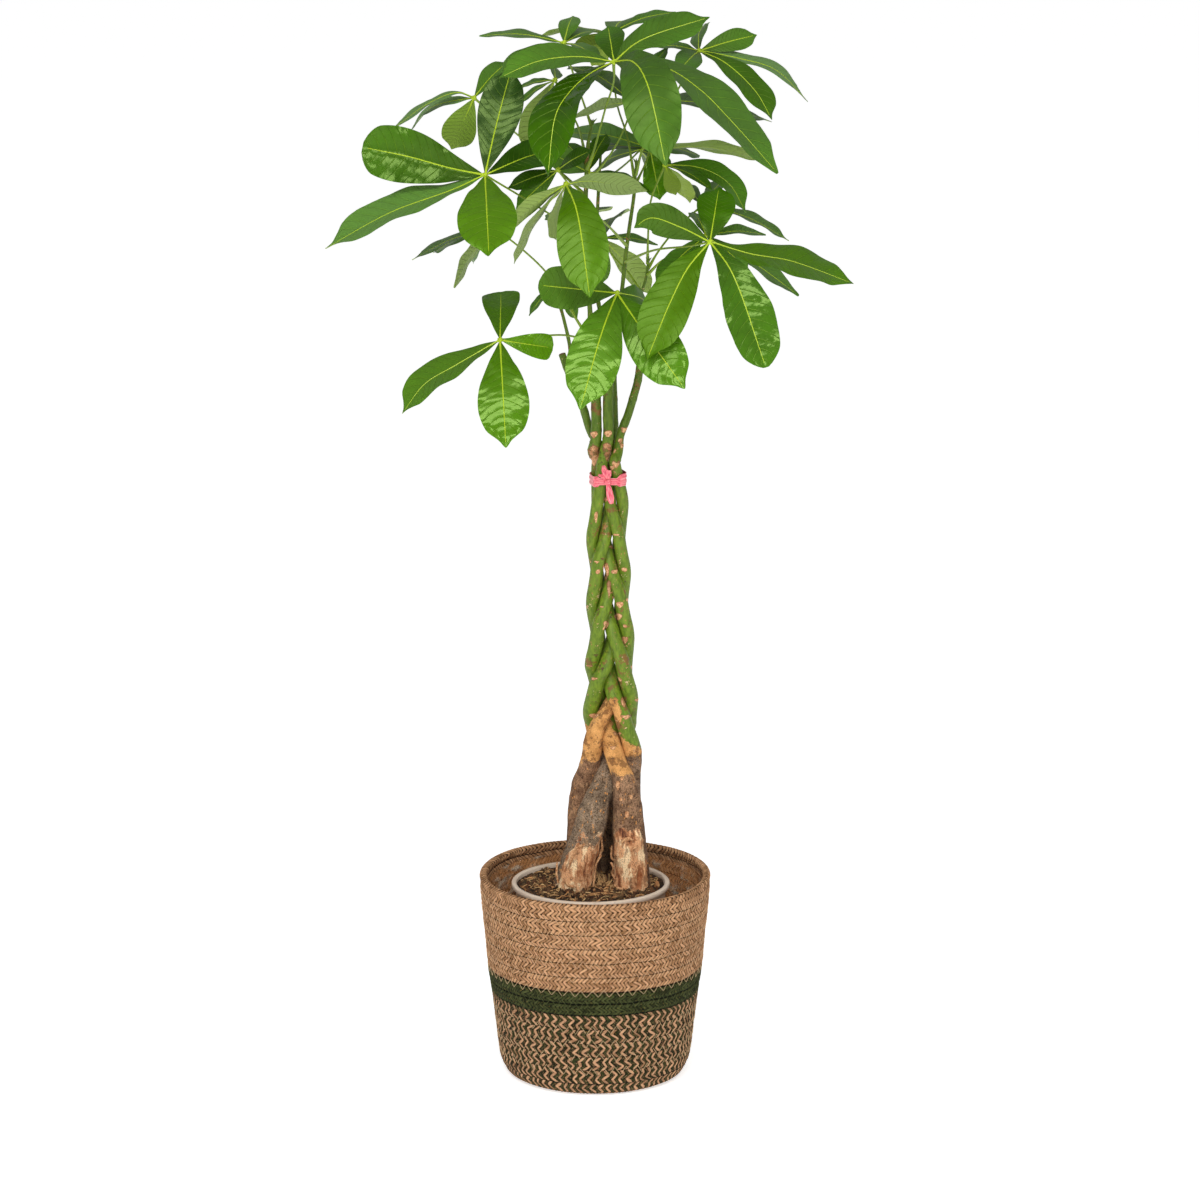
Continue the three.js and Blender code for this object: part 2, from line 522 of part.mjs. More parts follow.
// Each leaf: its hub, the petiole's way back to the trunk's shoot, and its leaflets by
// their tip, the width they show in pixels (below zero where the underside shows), and
// the midrib's way where it bends.
const LEAVES = {
  leaf_a: {
    hub: [485, 175, -90], petiole: [[517, 194, -65], [556, 218, -22], [587, 240, 0]],
    blades: [
      { tip: [362, 147, -100], shows: 54, via: [[450, 168], [410, 157]] },
      { tip: [325, 249, -120], shows: 29, via: [[455, 189], [390, 213]] },
      { tip: [489, 256, -190], shows: 58 },
      { tip: [512, 66, -40], shows: 43, via: [[495, 130]] },
      { tip: [560, 148, -30], shows: 30 },
    ],
  },
  leaf_b: {
    hub: [500, 340, -60], petiole: [[558, 335, -45], [576, 337, -22], [592, 341, 0]],
    blades: [
      { tip: [501, 290, 10], shows: 38 },
      { tip: [402, 414, -80], shows: 28, via: [[453, 367], [425, 384]] },
      { tip: [506, 448, -120], shows: 51 },
      { tip: [553, 348, -50], shows: 26 },
    ],
  },
  leaf_c: {
    hub: [614, 62, -60], petiole: [[614, 80, -52], [605, 110, -30], [594, 150, -12], [586, 172, 0]],
    blades: [
      { tip: [499, 78, -90], shows: 26, via: [[580, 57], [540, 61]] },
      { tip: [548, 176, -150], shows: 36, via: [[590, 74], [570, 92], [556, 115]] },
      { tip: [666, 166, -170], shows: 56, via: [[633, 62], [647, 83]] },
      { tip: [778, 174, -110], shows: 31, via: [[665, 68], [700, 90], [730, 120]] },
      { tip: [608, 26, 0], shows: 30 },
      { tip: [710, 17, -20], shows: 32, via: [[640, 41]] },
    ],
  },
  leaf_d: {
    hub: [566, 184, -100], petiole: [[582, 206, -80], [604, 222, -50], [630, 246, 0]],
    blades: [
      { tip: [590, 298, -180], shows: 50, via: [[577, 212]] },
      { tip: [506, 232, -110], shows: -16 },
      { tip: [514, 264, -60], shows: -10 },
      { tip: [647, 191, -60], shows: -22, via: [[590, 181]] },
      { tip: [556, 240, -40], shows: -12 },
    ],
  },
  leaf_e: {
    hub: [710, 242, -110], petiole: [[690, 246, -100], [655, 250, -60], [628, 262, 0]],
    blades: [
      { tip: [719, 187, -60], shows: 38 },
      { tip: [634, 228, -120], shows: 32, via: [[680, 227], [650, 218]] },
      { tip: [647, 360, -170], shows: 46, via: [[688, 268], [670, 303]] },
      { tip: [766, 368, -170], shows: 46, via: [[732, 273]] },
      { tip: [854, 284, -120], shows: 30, via: [[750, 254], [790, 261]] },
    ],
  },
  leaf_f: {
    hub: [617, 293, -110], petiole: [[619, 296, -60], [621, 300, 0]],
    blades: [
      { tip: [538, 285, -150], shows: 42 },
      { tip: [580, 410, -190], shows: 52, via: [[602, 332]] },
      { tip: [685, 389, -170], shows: 50, via: [[639, 325]] },
      { tip: [650, 305, -40], shows: 20 },
    ],
  },
  leaf_g: {
    hub: [588, 172, 14], petiole: [[587, 180, 8], [586, 190, 0]],
    blades: [
      { tip: [545, 150, -20], shows: 25 },
      { tip: [566, 143, 60], shows: 18 },
      { tip: [607, 134, 60], shows: 18 },
      { tip: [652, 193, 40], shows: 10 },
    ],
  },
  leaf_h: {
    hub: [474, 98, 60], petiole: [[512, 130, 52], [545, 158, 30], [586, 196, 0]],
    blades: [
      { tip: [388, 133, 60], shows: 7, via: [[458, 93], [430, 103]] },
      { tip: [408, 134, 110], shows: 8, via: [[445, 103], [430, 109]] },
      { tip: [451, 149, 10], shows: -34 },
      { tip: [508, 62, 110], shows: 20 },
    ],
  },
  leaf_i: {
    hub: [564, 43, 60], petiole: [[572, 70, 52], [584, 104, 26], [592, 128, 0]],
    blades: [
      { tip: [479, 36, 70], shows: 10 },
      { tip: [573, 16, 120], shows: 21 },
      { tip: [500, 72, 10], shows: 18 },
      { tip: [597, 60, -5], shows: 12 },
      { tip: [604, 33, 140], shows: 8 },
    ],
  },
  leaf_j: {
    hub: [699, 51, 30], petiole: [[672, 100, 0], [644, 145, 2], [635, 178, 0]],
    blades: [
      { tip: [757, 35, 60], shows: 23 },
      { tip: [808, 102, 40], shows: 13, via: [[740, 59], [775, 70]] },
      { tip: [772, 120, -30], shows: 26, via: [[725, 63], [755, 91]] },
      { tip: [678, 72, -40], shows: 25 },
      { tip: [653, 47, 60], shows: 9 },
      { tip: [705, 24, 100], shows: 14 },
    ],
  },
  leaf_k: {
    hub: [650, 148, 60], petiole: [[646, 162, 40], [636, 186, 0]],
    blades: [
      { tip: [766, 160, 60], shows: -9 },
      { tip: [563, 133, 115], shows: 22 },
      { tip: [575, 156, 130], shows: 10 },
      { tip: [660, 200, 62], shows: 27 },
    ],
  },
  leaf_l: {
    hub: [665, 165, 30], petiole: [[651, 200, 26], [648, 240, 16], [648, 266, 10]],
    blades: [
      { tip: [746, 213, 30], shows: 20, via: [[700, 168], [728, 183]] },
      { tip: [712, 190, -10], shows: 9 },
      { tip: [676, 195, 0], shows: -17 },
      { tip: [690, 203, 80], shows: -15 },
    ],
  },
  leaf_m: {
    hub: [703, 205, 80], petiole: [[680, 225, 60], [658, 252, 24], [648, 270, 10]],
    blades: [
      { tip: [789, 241, 80], shows: 10 },
      { tip: [735, 175, 150], shows: 16 },
      { tip: [668, 182, 150], shows: 14 },
      { tip: [742, 214, 170], shows: 12 },
    ],
  },
  leaf_n: {
    hub: [494, 229, 10], petiole: [[508, 238, 10], [545, 271, 8], [568, 306, 5], [592, 345, 0]],
    blades: [
      { tip: [412, 260, 0], shows: 9 },
      { tip: [433, 253, 50], shows: 10 },
      { tip: [454, 288, -40], shows: -10 },
      { tip: [472, 261, 70], shows: 14 },
    ],
  },
  leaf_o: {
    hub: [555, 80, 130], petiole: [[566, 104, 116], [577, 124, 90], [588, 160, 0]],
    blades: [
      { tip: [516, 90, 150], shows: 6 },
      { tip: [520, 104, 110], shows: 6 },
      { tip: [545, 60, 210], shows: 8 },
      { tip: [524, 152, 80], shows: -26 },
    ],
  },
  leaf_p: {
    hub: [558, 170, -30], petiole: [[570, 186, -20], [586, 206, 0]],
    blades: [
      { tip: [508, 188, -30], shows: 17 },
      { tip: [516, 209, -30], shows: 20 },
      { tip: [592, 150, -60], shows: 16 },
    ],
  },
  leaf_q: {
    hub: [632, 102, 20], petiole: [[626, 124, 16], [612, 152, 8], [588, 184, 0]],
    blades: [
      { tip: [572, 118, -40], shows: -13 },
      { tip: [772, 122, 80], shows: 14 },
      { tip: [668, 47, 60], shows: 15 },
      { tip: [568, 66, 110], shows: 18 },
      { tip: [640, 112, 130], shows: 14 },
    ],
  },
  leaf_r: {
    hub: [611, 33, 150], petiole: [[616, 98, 110], [628, 140, 30], [634, 184, 0]],
    blades: [
      { tip: [540, 36, 160], shows: -5 },
      { tip: [573, 54, 110], shows: -20 },
      { tip: [592, 66, 100], shows: -22 },
      { tip: [676, 12, 170], shows: 9 },
      { tip: [632, 22, 250], shows: 12 },
    ],
  },
  leaf_s: {
    hub: [602, 238, 60], petiole: [[613, 256, 54], [628, 272, 30], [641, 292, 12]],
    blades: [
      { tip: [658, 245, 80], shows: 9 },
      { tip: [651, 295, 70], shows: -24 },
      { tip: [600, 286, 40], shows: 20 },
      { tip: [622, 215, 170], shows: 12 },
    ],
  },
  leaf_t: {
    hub: [556, 285, 26], petiole: [[557, 290, 20], [560, 303, 10]],
    blades: [
      { tip: [529, 316, 10], shows: 8 },
      { tip: [577, 319, 40], shows: 14 },
      { tip: [570, 272, 90], shows: 12 },
    ],
  },
  leaf_u: {
    hub: [706, 236, -20], petiole: [[682, 252, -10], [663, 260, 0], [647, 276, 10]],
    blades: [
      { tip: [655, 286, -60], shows: 22 },
      { tip: [692, 212, 30], shows: 14 },
      { tip: [766, 235, 20], shows: 9 },
      { tip: [749, 272, -50], shows: 18 },
      { tip: [799, 296, -20], shows: 14, via: [[752, 262]] },
    ],
  },
  leaf_v: {
    hub: [640, 150, 150], petiole: [[628, 162, 120], [600, 184, 44]],
    blades: [
      { tip: [700, 156, 220], shows: 12 },
      { tip: [648, 180, 270], shows: 20 },
      { tip: [590, 176, 240], shows: 14 },
      { tip: [620, 130, 230], shows: 12 },
      { tip: [672, 168, 120], shows: 12 },
    ],
  },
  leaf_w: {
    hub: [585, 215, 130], petiole: [[590, 222, 100], [596, 236, 36]],
    blades: [
      { tip: [545, 216, 190], shows: 14 },
      { tip: [580, 262, 210], shows: 26 },
      { tip: [560, 200, 110], shows: 12 },
      { tip: [600, 212, 230], shows: 12 },
    ],
  },
};

// Half width along a leaflet, as a share of its widest: narrow foot, widest past the middle.
const BLADE_OUTLINE = [[0.2, 0.44], [0.42, 0.85], [0.64, 1], [0.86, 0.66]];
const BLADE_FOLD = 0.16;            // how far the edges rise over the rib, to the half width
const BLADE_ARCH = 0.06;            // rise of a straight leaflet's middle, to its length
const SEAT_STEPS = 80;
const FOOT_REACH = 2.3;             // a leaflet starts this far from its hub's middle

function faceNormal(hub, tip, shows, roll) {
  const along = tip.clone().sub(hub);
  const width = Math.max(BLADE_RATIO * along.length(), Math.abs(shows) * CROWN_SCALE);
  along.normalize();
  const toEye = EYE.clone().sub(hub);
  toEye.addScaledVector(along, -toEye.dot(along)).normalize();
  const up = along.clone().cross(toEye);
  if (up.z * roll < 0) up.negate();
  const share = (shows * CROWN_SCALE) / width;
  const normal = toEye.multiplyScalar(share).addScaledVector(up, Math.sqrt(1 - share * share));
  return { normal, width };
}

function blade(hub, { tip: tipPixel, shows, via = [], roll = 1 }) {
  const tip = at(tipPixel);
  const { normal, width } = faceNormal(hub, tip, shows, roll);
  const length = hub.distanceTo(tip);
  const bends = via.map(([px, py], k) => {
    const share = (k + 1) / (via.length + 1);
    return at([px, py, THREE.MathUtils.lerp(hub.y, tip.y, share)]);
  });
  if (bends.length === 0) {
    bends.push(hub.clone().lerp(tip, 0.5).addScaledVector(normal, BLADE_ARCH * length));
  }
  const rib = new THREE.CatmullRomCurve3([hub, ...bends, tip], false, "centripetal");
  const stationAt = (share, part) => {
    const centre = rib.getPointAt(share);
    const along = rib.getTangentAt(share);
    const face = normal.clone().addScaledVector(along, -normal.dot(along)).normalize();
    const side = along.clone().cross(face);
    const half = (width / 2) * part;
    const raise = half * BLADE_FOLD;
    const edge = (across) => centre.clone().addScaledVector(side, across).addScaledVector(face, raise);
    return { face, points: [edge(-half), centre, edge(half)] };
  };
  const rows = BLADE_OUTLINE.map(([share, part]) => stationAt(share, part));
  return toSolid(bladeGeometry(stationAt(FOOT_REACH / length, 0), rows, stationAt(1, 0)));
}

// Rows of left edge, rib and right edge, closed by a foot and a tip, become a thin blade
// that is split alike on both faces.
function bladeGeometry(foot, rows, tip) {
  const lift = (point, face, offset) => point.clone().addScaledVector(face, offset);
  const half = BLADE_THICKNESS / 2;
  const points = [];
  const level = (offset) => {
    points.push(lift(foot.points[1], foot.face, offset));
    for (const row of rows) points.push(...row.points.map((p) => lift(p, row.face, offset)));
    points.push(lift(tip.points[1], tip.face, offset));
  };
  level(half);
  level(-half);
  const under = points.length / 2;
  const end = under - 1;
  const upper = [[0, 1, 2], [0, 2, 3]];
  const rim = [0];
  for (let row = 0; row + 1 < rows.length; row += 1) {
    const near = 1 + 3 * row;
    for (const column of [near, near + 1]) {
      upper.push([column, column + 3, column + 1], [column + 1, column + 3, column + 4]);
    }
  }
  upper.push([end - 3, end, end - 2], [end - 2, end, end - 1]);
  for (let row = 0; row < rows.length; row += 1) rim.push(1 + 3 * row);
  rim.push(end);
  for (let row = rows.length - 1; row >= 0; row -= 1) rim.push(3 + 3 * row);
  const lower = upper.map(([a, b, c]) => [a + under, c + under, b + under]);
  const sides = rim.flatMap((from, k) => {
    const to = rim[(k + 1) % rim.length];
    return [[from, from + under, to], [to, from + under, to + under]];
  });
  return closedGeometry(points, [...upper, ...lower, ...sides]);
}

function leaf(plan, trunks) {
  const hub = at(plan.hub);
  const way = [hub, ...plan.petiole.map(at)];
  const foot = way.at(-1);
  const { seat, socket } = seatOf(foot, trunks);
  foot.copy(seat).add(way.at(-2).clone().sub(seat).setLength(PETIOLE_END));
  const radii = way.map((_, k) => PETIOLE_RADIUS * (k === 0 ? 1.25 : 1));
  const petiole = toSolid(loft(tubeRings(way, radii, way.length + 1, PETIOLE_SIDES)));
  const ball = new THREE.IcosahedronGeometry(HUB_RADIUS, 0);
  ball.translate(hub.x, hub.y, hub.z);
  const blades = plan.blades.map((entry) => blade(hub, entry));
  const whole = [toSolid(ball), ...blades].reduce((sum, piece) => sum.add(piece), petiole);
  return toGeometry(whole.subtract(socket));
}

// The trunk that a petiole reaches, and the point on its stem's or shoot's middle line.
function seatOf(point, trunks) {
  const middleLine = (places) => new THREE.CatmullRomCurve3(places.map(at), false, "centripetal");
  const seats = trunks.flatMap((trunk) => [trunk.stem, trunk.shoot]
    .filter((places) => places !== undefined)
    .flatMap((places) => middleLine(places).getPoints(SEAT_STEPS))
    .map((seat) => ({ seat, socket: trunk.socket })));
  const away = ({ seat }) => seat.distanceTo(point);
  return seats.reduce((best, entry) => (away(entry) < away(best) ? entry : best));
}

// ---------------------------------------------------------------- materials and assembly

function finish(color, roughness) {
  return new THREE.MeshStandardMaterial({ color, roughness, metalness: 0 });
}

const NATURAL_ROPE = finish(0xb89169, 0.9);
const GREEN_ROPE = finish(0x2f3f20, 0.9);
const TWO_TONE_ROPE = finish(0x7f7750, 0.9);
const CLEAR_FILM = finish(0xc9bfae, 0.2);
const GREY_PLASTIC = finish(0x9a9187, 0.5);
const POTTING_SOIL = finish(0x3d2e22, 1);
const BARK = finish(0x7a6248, 0.9);
const PINK_RIBBON = finish(0xee8792, 0.5);
const LEAF_GREEN = finish(0x3f7a1c, 0.4);

const tree = new THREE.Group();

function place(name, geometry, material) {
  const mesh = new THREE.Mesh(geometry, material);
  mesh.name = name;
  tree.add(mesh);
}

const trunks = buildTrunks();
place("basket_base", basketFloor(), TWO_TONE_ROPE);
place("basket_lower_wall", basketWall(CORNER_HEIGHT, BAND_BOTTOM, TWO_TONE_ROWS), TWO_TONE_ROPE);
place("basket_green_band", basketWall(BAND_BOTTOM + GAP, BAND_TOP, GREEN_ROWS), GREEN_ROPE);
place("basket_upper_wall", basketTop(), NATURAL_ROPE);
place("liner", liner(), CLEAR_FILM);
place("nursery_pot", nurseryPot(), GREY_PLASTIC);
place("soil", soil(trunks), POTTING_SOIL);
for (const trunk of trunks) place(trunk.name, toGeometry(trunk.solid), BARK);
place("tie", tie(), PINK_RIBBON);
for (const [name, plan] of Object.entries(LEAVES)) place(name, leaf(plan, trunks), LEAF_GREEN);

export default tree;
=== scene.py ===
import itertools
import math
from random import Random

import bpy
import numpy as np
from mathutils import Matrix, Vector


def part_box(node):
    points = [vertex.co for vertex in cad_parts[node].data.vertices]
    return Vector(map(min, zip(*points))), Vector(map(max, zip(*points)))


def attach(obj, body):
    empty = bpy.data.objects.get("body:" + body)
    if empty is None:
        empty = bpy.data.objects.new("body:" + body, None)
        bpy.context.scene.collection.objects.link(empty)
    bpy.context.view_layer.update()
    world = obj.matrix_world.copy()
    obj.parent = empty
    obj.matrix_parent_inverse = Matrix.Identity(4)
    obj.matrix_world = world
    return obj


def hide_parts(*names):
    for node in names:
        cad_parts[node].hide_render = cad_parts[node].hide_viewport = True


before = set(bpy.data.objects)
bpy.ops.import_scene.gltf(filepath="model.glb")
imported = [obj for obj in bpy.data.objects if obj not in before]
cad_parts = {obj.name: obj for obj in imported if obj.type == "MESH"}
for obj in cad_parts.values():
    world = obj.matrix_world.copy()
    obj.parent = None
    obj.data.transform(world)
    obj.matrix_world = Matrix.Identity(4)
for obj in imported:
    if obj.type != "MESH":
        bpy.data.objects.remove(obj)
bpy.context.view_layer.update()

MM = 0.001
UP = np.array((0.0, 0.0, 1.0))


def node_heights(node):
    low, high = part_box(node)
    return low.z / MM, high.z / MM


# ---------------------------------------------------------------- driving dimensions

BAND_BOTTOM, BAND_TOP = node_heights("basket_green_band")
CORNER_HEIGHT = node_heights("basket_lower_wall")[0]
BASKET_HEIGHT = node_heights("basket_upper_wall")[1]
RIM_RISE = 5.5                      # the back rim over the front rim
RIM_RADIUS = 124.6                  # outside of the rolled rim
ROLL_RADIUS = 4.5                   # rope that finishes the rim
ROLL_TURN = 228                     # degrees that it is rolled by, and
ROLL_STEP = 12                      # from one mesh ring to the next
ROPE_WALL = 7                       # thickness of the sewn rope wall
ROW_RELIEF = 1.1                    # how far each rope row stands proud of its seam
RING_GAP = 0.3                      # between two pieces of the rope wall
CORNER_RADIUS = 95.5                # the bend up from the floor ends at this radius
CORNER_BEND = 4                     # and this height, and begins at the floor's
FLOOR_RADIUS = 87
FLOOR_THICKNESS = 7.5
NATURAL_ROWS = 5
GREEN_ROWS = 2
TWO_TONE_ROWS = 5
RIM_SEAM = 201                      # seam under the row that is rolled over as the rim
SEAM_RISE = 3.8                     # how far the thread's seams stand over the solids' own edges
WALL_HEIGHTS = (0, 4, 15, 30, 60, 90, 117, 155, 172, 190, 204, 220)
WALL_RADII = (86, 94.6, 101.2, 103.8, 107.4, 110.8, 115, 118.2, 120.2, 122, 123, 123.4)

STRAND_PAIRS = 78                   # plaited strands round the basket, two by two
STRAND_SAMPLES = 5                  # mesh columns to a strand
LEGS = 3                            # slanted strand lengths across one row
LEG_SAMPLES = 3                     # mesh rings to a leg
LEG_SLANT = 0.56                    # sideways run of a leg, in strand pairs
STRAND_RELIEF = 1.0                 # depth of the grooves between strands
ROW_SLIP = 0.37                     # how far each row's pattern is out of step with the last
THREAD_PITCH = 12.4                 # one V of the sewing thread
THREAD_REACH = 4.6                  # and how far it stands over and under the seam
THREAD_RADIUS = 0.26
THREAD_LIFT = 0.35                  # of its middle, off the wall at the seam

LINER_TOP = node_heights("liner")[1]
LINER_FLOOR = node_heights("liner")[0]
LINER_GAP = 0.5                     # between the liner and the rope
LINER_CORNER = 24                   # its wall begins at this height
LINER_COLUMNS = 180
CREASE_START = 40                   # creases begin at this height and are full
CREASE_RISE = 60                    # this far over it
FILM = 0.8                          # thickness of the liner's solid, halved for its look

POT_FLOOR, POT_TOP = node_heights("nursery_pot")
POT_X = -4.7
POT_RIM_RADIUS = 85
POT_LIP_WIDTH = 3.4                 # how far the lip stands out over the wall
POT_LIP_HEIGHT = 5
POT_FOOT_RADIUS = 64
POT_WALL = 1.8
POT_ROUNDING = 0.7
POT_RINGS = (30, 80, 140, 190)      # heights of mesh rings on its wall
POT_COLUMNS = 160
DRAIN_HOLES = 6
DRAIN_RADIUS = 5
DRAIN_CIRCLE = 44                   # radius on which the holes stand
DRAIN_COLUMNS = 24

SOIL_TOP = 208
SOIL_MOUND = 2.5                    # how far it stands over its edge
SOIL_GAP = 0.3                      # between the soil and the pot
SOIL_RINGS = 56
SOIL_COLUMNS = 200
CRUMB_COUNT = 1150                  # loose matter on the soil
FIBRE_COUNT = 420
UPRIGHT_COUNT = 40
ROOT_DEPTH = 62                     # how far the trunks reach into the soil

# Braid, as the solids have it: each trunk swings across the axis on a figure of eight.
FIRST_CROSSING = 327                # height where the first trunk crosses the axis
CROSSING_STEP = 34.4                # from one trunk's crossing to the next trunk's
BRAID_SWING = 0.95                  # to the side, in trunk radii
BRAID_DEPTH = 2.65                  # to the front and back, in trunk radii
BRAID_START = 300                   # the braid's mesh slices stand closer from here up
BRAID_END = 648                     # trunks swing no more from here up
BRAID_TOP = 674                     # stems begin here
BRAID_STEP = 11.5                   # between slices in the braid, and
BASE_STEP = 22                      # between slices under it
BRAID_GIRTH = 9.6                   # thickest radius that the swing is counted by
TRUNK_CLEARANCE = 0.85              # least space left between two trunks
EVEN_GIRTH_HEIGHT = 210             # this far over the soil all trunks are as thick
FIRST_JOIN = 150                    # the first trunk reaches its swing this far over the soil,
JOIN_STEP = 45                      # each next trunk this much farther
SETTLING_ROUNDS = 400               # of pushing the trunks apart
EVENING = 0.3                       # share of each kink that is evened out, every fourth
EVENING_ROUNDS = 200                # of these first rounds
TRUNK_SIDES = 52                    # mesh columns round a trunk
TRUNK_STEP = 1.6                    # mesh length along it
TUBE_START = (0.31, 0.95, 0.05)     # side that a tube's first mesh column turns to
CUT_GIRTH = 3                       # a stem that ends thicker than this is sawn off
SCAR_TOP = 690                      # no scars are scattered over this height
GIRTH_RISES = (-62, -25, 0, 40, 70, 90, 110, 135, 180, 260, 340, 430, 470)
GIRTHS = (7, 15, 21, 19, 17.3, 16, 13.6, 11.3, 9.1, 7.8, 7, 6.4, 6.1)
AXIS_HEIGHTS = (300, 370, 470, 560, 650)
AXIS_X = (15, 17.3, 16.8, 14, 13)

TIE_BOTTOM = 646
TIE_TOP = 662
TIE_CLEARANCE = 0.9                 # between the ribbon and the trunks
RIBBON = 0.5                        # its thickness where it is wrapped
RIBBON_COLUMNS = 140
RIBBON_ROWS = 15
STRIP_ROWS = 26                     # mesh of a loose strip
STRIP_COLUMNS = 9
KNOT_X = 13.5
KNOT_LEVEL = (TIE_BOTTOM + TIE_TOP) / 2 - 1
# Each loose end: its way from the knot, its widths and its fold.
TAILS = [
    (((0, 0.5, 0), (-2.2, -0.3, 8), (-4.6, 0.2, 18)), (2.5, 4.5, 6, 6.5, 6, 3), 0.5),
    (((0, 0.5, 0), (1.0, -0.1, 7), (1.8, 0.3, 13)), (2, 4, 5, 5, 4), 0.4),
    (((0, 0.5, 0), (1.6, -0.8, -9), (4.2, 0.2, -23)), (2.5, 4.5, 6, 7, 7.5, 4), 0.5),
    (((-1, 0.5, 1), (-5, -0.6, 6), (-10, 0.6, 8)), (2, 3.5, 4, 3.5, 2), 0.7),
]

BLADE_RATIO = 0.36                  # width over length of a leaflet seen flat
BLADE_FOLD = 0.16                   # how far the edges rise over the rib, to the half width
BLADE_ARCH = 0.06                   # rise of a straight leaflet's middle, to its length
BLADE_STEP = 2.7                    # mesh length along a leaflet
BLADE_COLUMNS = 5                   # mesh columns each side of the rib
BLADE_THICKNESS = 0.64              # at the rib
BLADE_LEAST = 0.35                  # half width that the foot and tip never go under
BLADE_END = 0.997                   # share of the rib that the blade reaches
SIDE_VEINS = 14                     # pairs of side veins
VEIN_SLANT = 1.15                   # how far side veins lean to the tip, and how far they
VEIN_BEND = 0.65                    # bend to it, in spaces between veins at the edge
FOOT_REACH = 2.3                    # how far from the hub's middle a blade begins
PETIOLE_RADIUS = 1.3
PETIOLE_END = 1.6                   # how far from the stem's middle line a petiole ends
HUB_RADIUS = 3.0
SEAT_STEPS = 80                     # places on a stem where a petiole may sit
FLOOR_REACH = 30.0                  # metres

# ---------------------------------------------------------------- places in the picture

# Leaves, stems and marks are placed by where they appear in the 1200 x 1200 picture, with their
# depth along Y in millimetres added, and carried back through the lens that took it.
PICTURE_SIZE = 1200
PICTURE_MIDDLE = 600
FOCAL_PIXELS = 4819
EYE = np.array((5.4, -5000.0, 1630.0))
EYE_PITCH = math.radians(12.5)
CROWN_SCALE = 1.05                  # millimetres to a pixel at the crown


def at(place):
    px, py, depth = place
    side = (px - PICTURE_MIDDLE) / FOCAL_PIXELS
    drop = (py - PICTURE_MIDDLE) / FOCAL_PIXELS
    ray = np.array((
        side,
        math.cos(EYE_PITCH) - drop * math.sin(EYE_PITCH),
        -math.sin(EYE_PITCH) - drop * math.cos(EYE_PITCH),
    ))
    return EYE + ray * ((depth - EYE[1]) / ray[1])


def seen(points):
    """Where points appear in the picture."""
    off = points - EYE
    deep = off[..., 1] * math.cos(EYE_PITCH) - off[..., 2] * math.sin(EYE_PITCH)
    high = off[..., 1] * math.sin(EYE_PITCH) + off[..., 2] * math.cos(EYE_PITCH)
    across = PICTURE_MIDDLE + FOCAL_PIXELS * off[..., 0] / deep
    return across, PICTURE_MIDDLE - FOCAL_PIXELS * high / deep


# Base: where the trunk leaves the soil.  Girth: its share of the common thickness there.
# Start: the phase that it holds below the braid.  Green, ochre: the heights where green
# bark and ochre bark begin.  Grey: how grey its old bark is.  Lean: how far the foot stands
# off to the side; sway: how far it does at the knees.  Peel: where its torn foot
# ends, and open: the way it faces.  Bare: a patch of the picture where its green bark is gone.
TRUNKS = [
    {
        "name": "trunk_front_left", "base": (-24, -12), "girth": 1.0, "start": -0.5, "lean": -7,
        "green": 372, "ochre": 352, "grey": 0.85, "peel": 264, "open": -1.2,
        "stem": [(605, 452, -9), (608, 438, -10), (608, 400, -8), (611, 350, -2), (621, 297, 0),
                 (625, 262, 0), (629, 230, 0), (634, 195, 0), (636, 165, 0)],
        "girths": [6, 5.6, 5.4, 4.4, 2.2, 2.1, 2, 1.8, 1.2],
    },
    {
        "name": "trunk_front_right", "base": (41, -12), "girth": 0.97, "start": -0.5,
        "green": 385, "ochre": 334, "grey": 0.25, "peel": 270, "open": -1.75,
        "stem": [(618, 452, -9), (620, 436, -3), (628, 415, 4), (634, 395, 6), (638, 380, 6),
                 (640, 365, 6)],
        "girths": [5.2, 4.6, 4.4, 4.3, 4.2, 4.0],
        "shoot": [(637, 386, 6), (641, 350, 14), (641, 320, 14), (640, 300, 12), (646, 278, 10),
                  (648, 263, 10)],
    },
    {
        "name": "trunk_left", "base": (-14, 25), "girth": 0.93, "start": -0.5, "sway": 4.5,
        "green": 409, "ochre": 345, "grey": 0.1, "peel": 226, "open": -2.0,
        "stem": [(593.5, 452, -2), (596, 438, -7), (596, 400, -6), (594, 360, -2), (590, 311, 0),
                 (587, 250, 0), (586, 190, 0), (588, 145, 0), (592, 125, 0)],
        "girths": [6.2, 5.8, 5.3, 4.6, 2.6, 2.3, 2.2, 2, 1.2],
    },
    {
        "name": "trunk_right", "base": (35, 23), "girth": 0.78, "start": -0.5,
        "bare": (613, 716, 9, 17), "green": 366, "ochre": 349, "grey": 0.5, "peel": 250, "open": -0.3,
        "stem": [(615, 452, 15), (614, 440, 13), (613, 400, 13), (611, 360, 14), (605, 330, 20),
                 (598, 300, 26), (596, 250, 34), (598, 200, 40), (601, 150, 46)],
        "girths": [5.8, 5.2, 4.9, 4.4, 2.6, 2.2, 2, 1.8, 1.2],
    },
    {
        "name": "trunk_back", "base": (11, 54), "girth": 0.74, "start": -0.9,
        "green": 372, "ochre": 342, "grey": 0.5, "peel": 222, "open": 1.6,
        "stem": [(603.5, 452, 9), (596, 440, 14), (590, 430, 11), (583, 407, 4), (575, 388, 2),
                 (567, 368, 0), (562, 354, 0)],
        "girths": [5.4, 4.8, 4.3, 4.2, 4.1, 4.0, 3.8],
        "shoot": [(568, 371, 0), (570, 350, 0), (564, 320, 4), (559, 302, 8), (556, 290, 14)],
    },
]
SHOOT_GIRTHS = [2, 1.9, 1.8, 1.6, 1.2]
SHOOT_RINGS = 40
LEAN_HEIGHT = 85                    # a leaning foot stands true this far over the soil
SWAY_HEIGHT = 335                   # the knees' height, and how far up and down
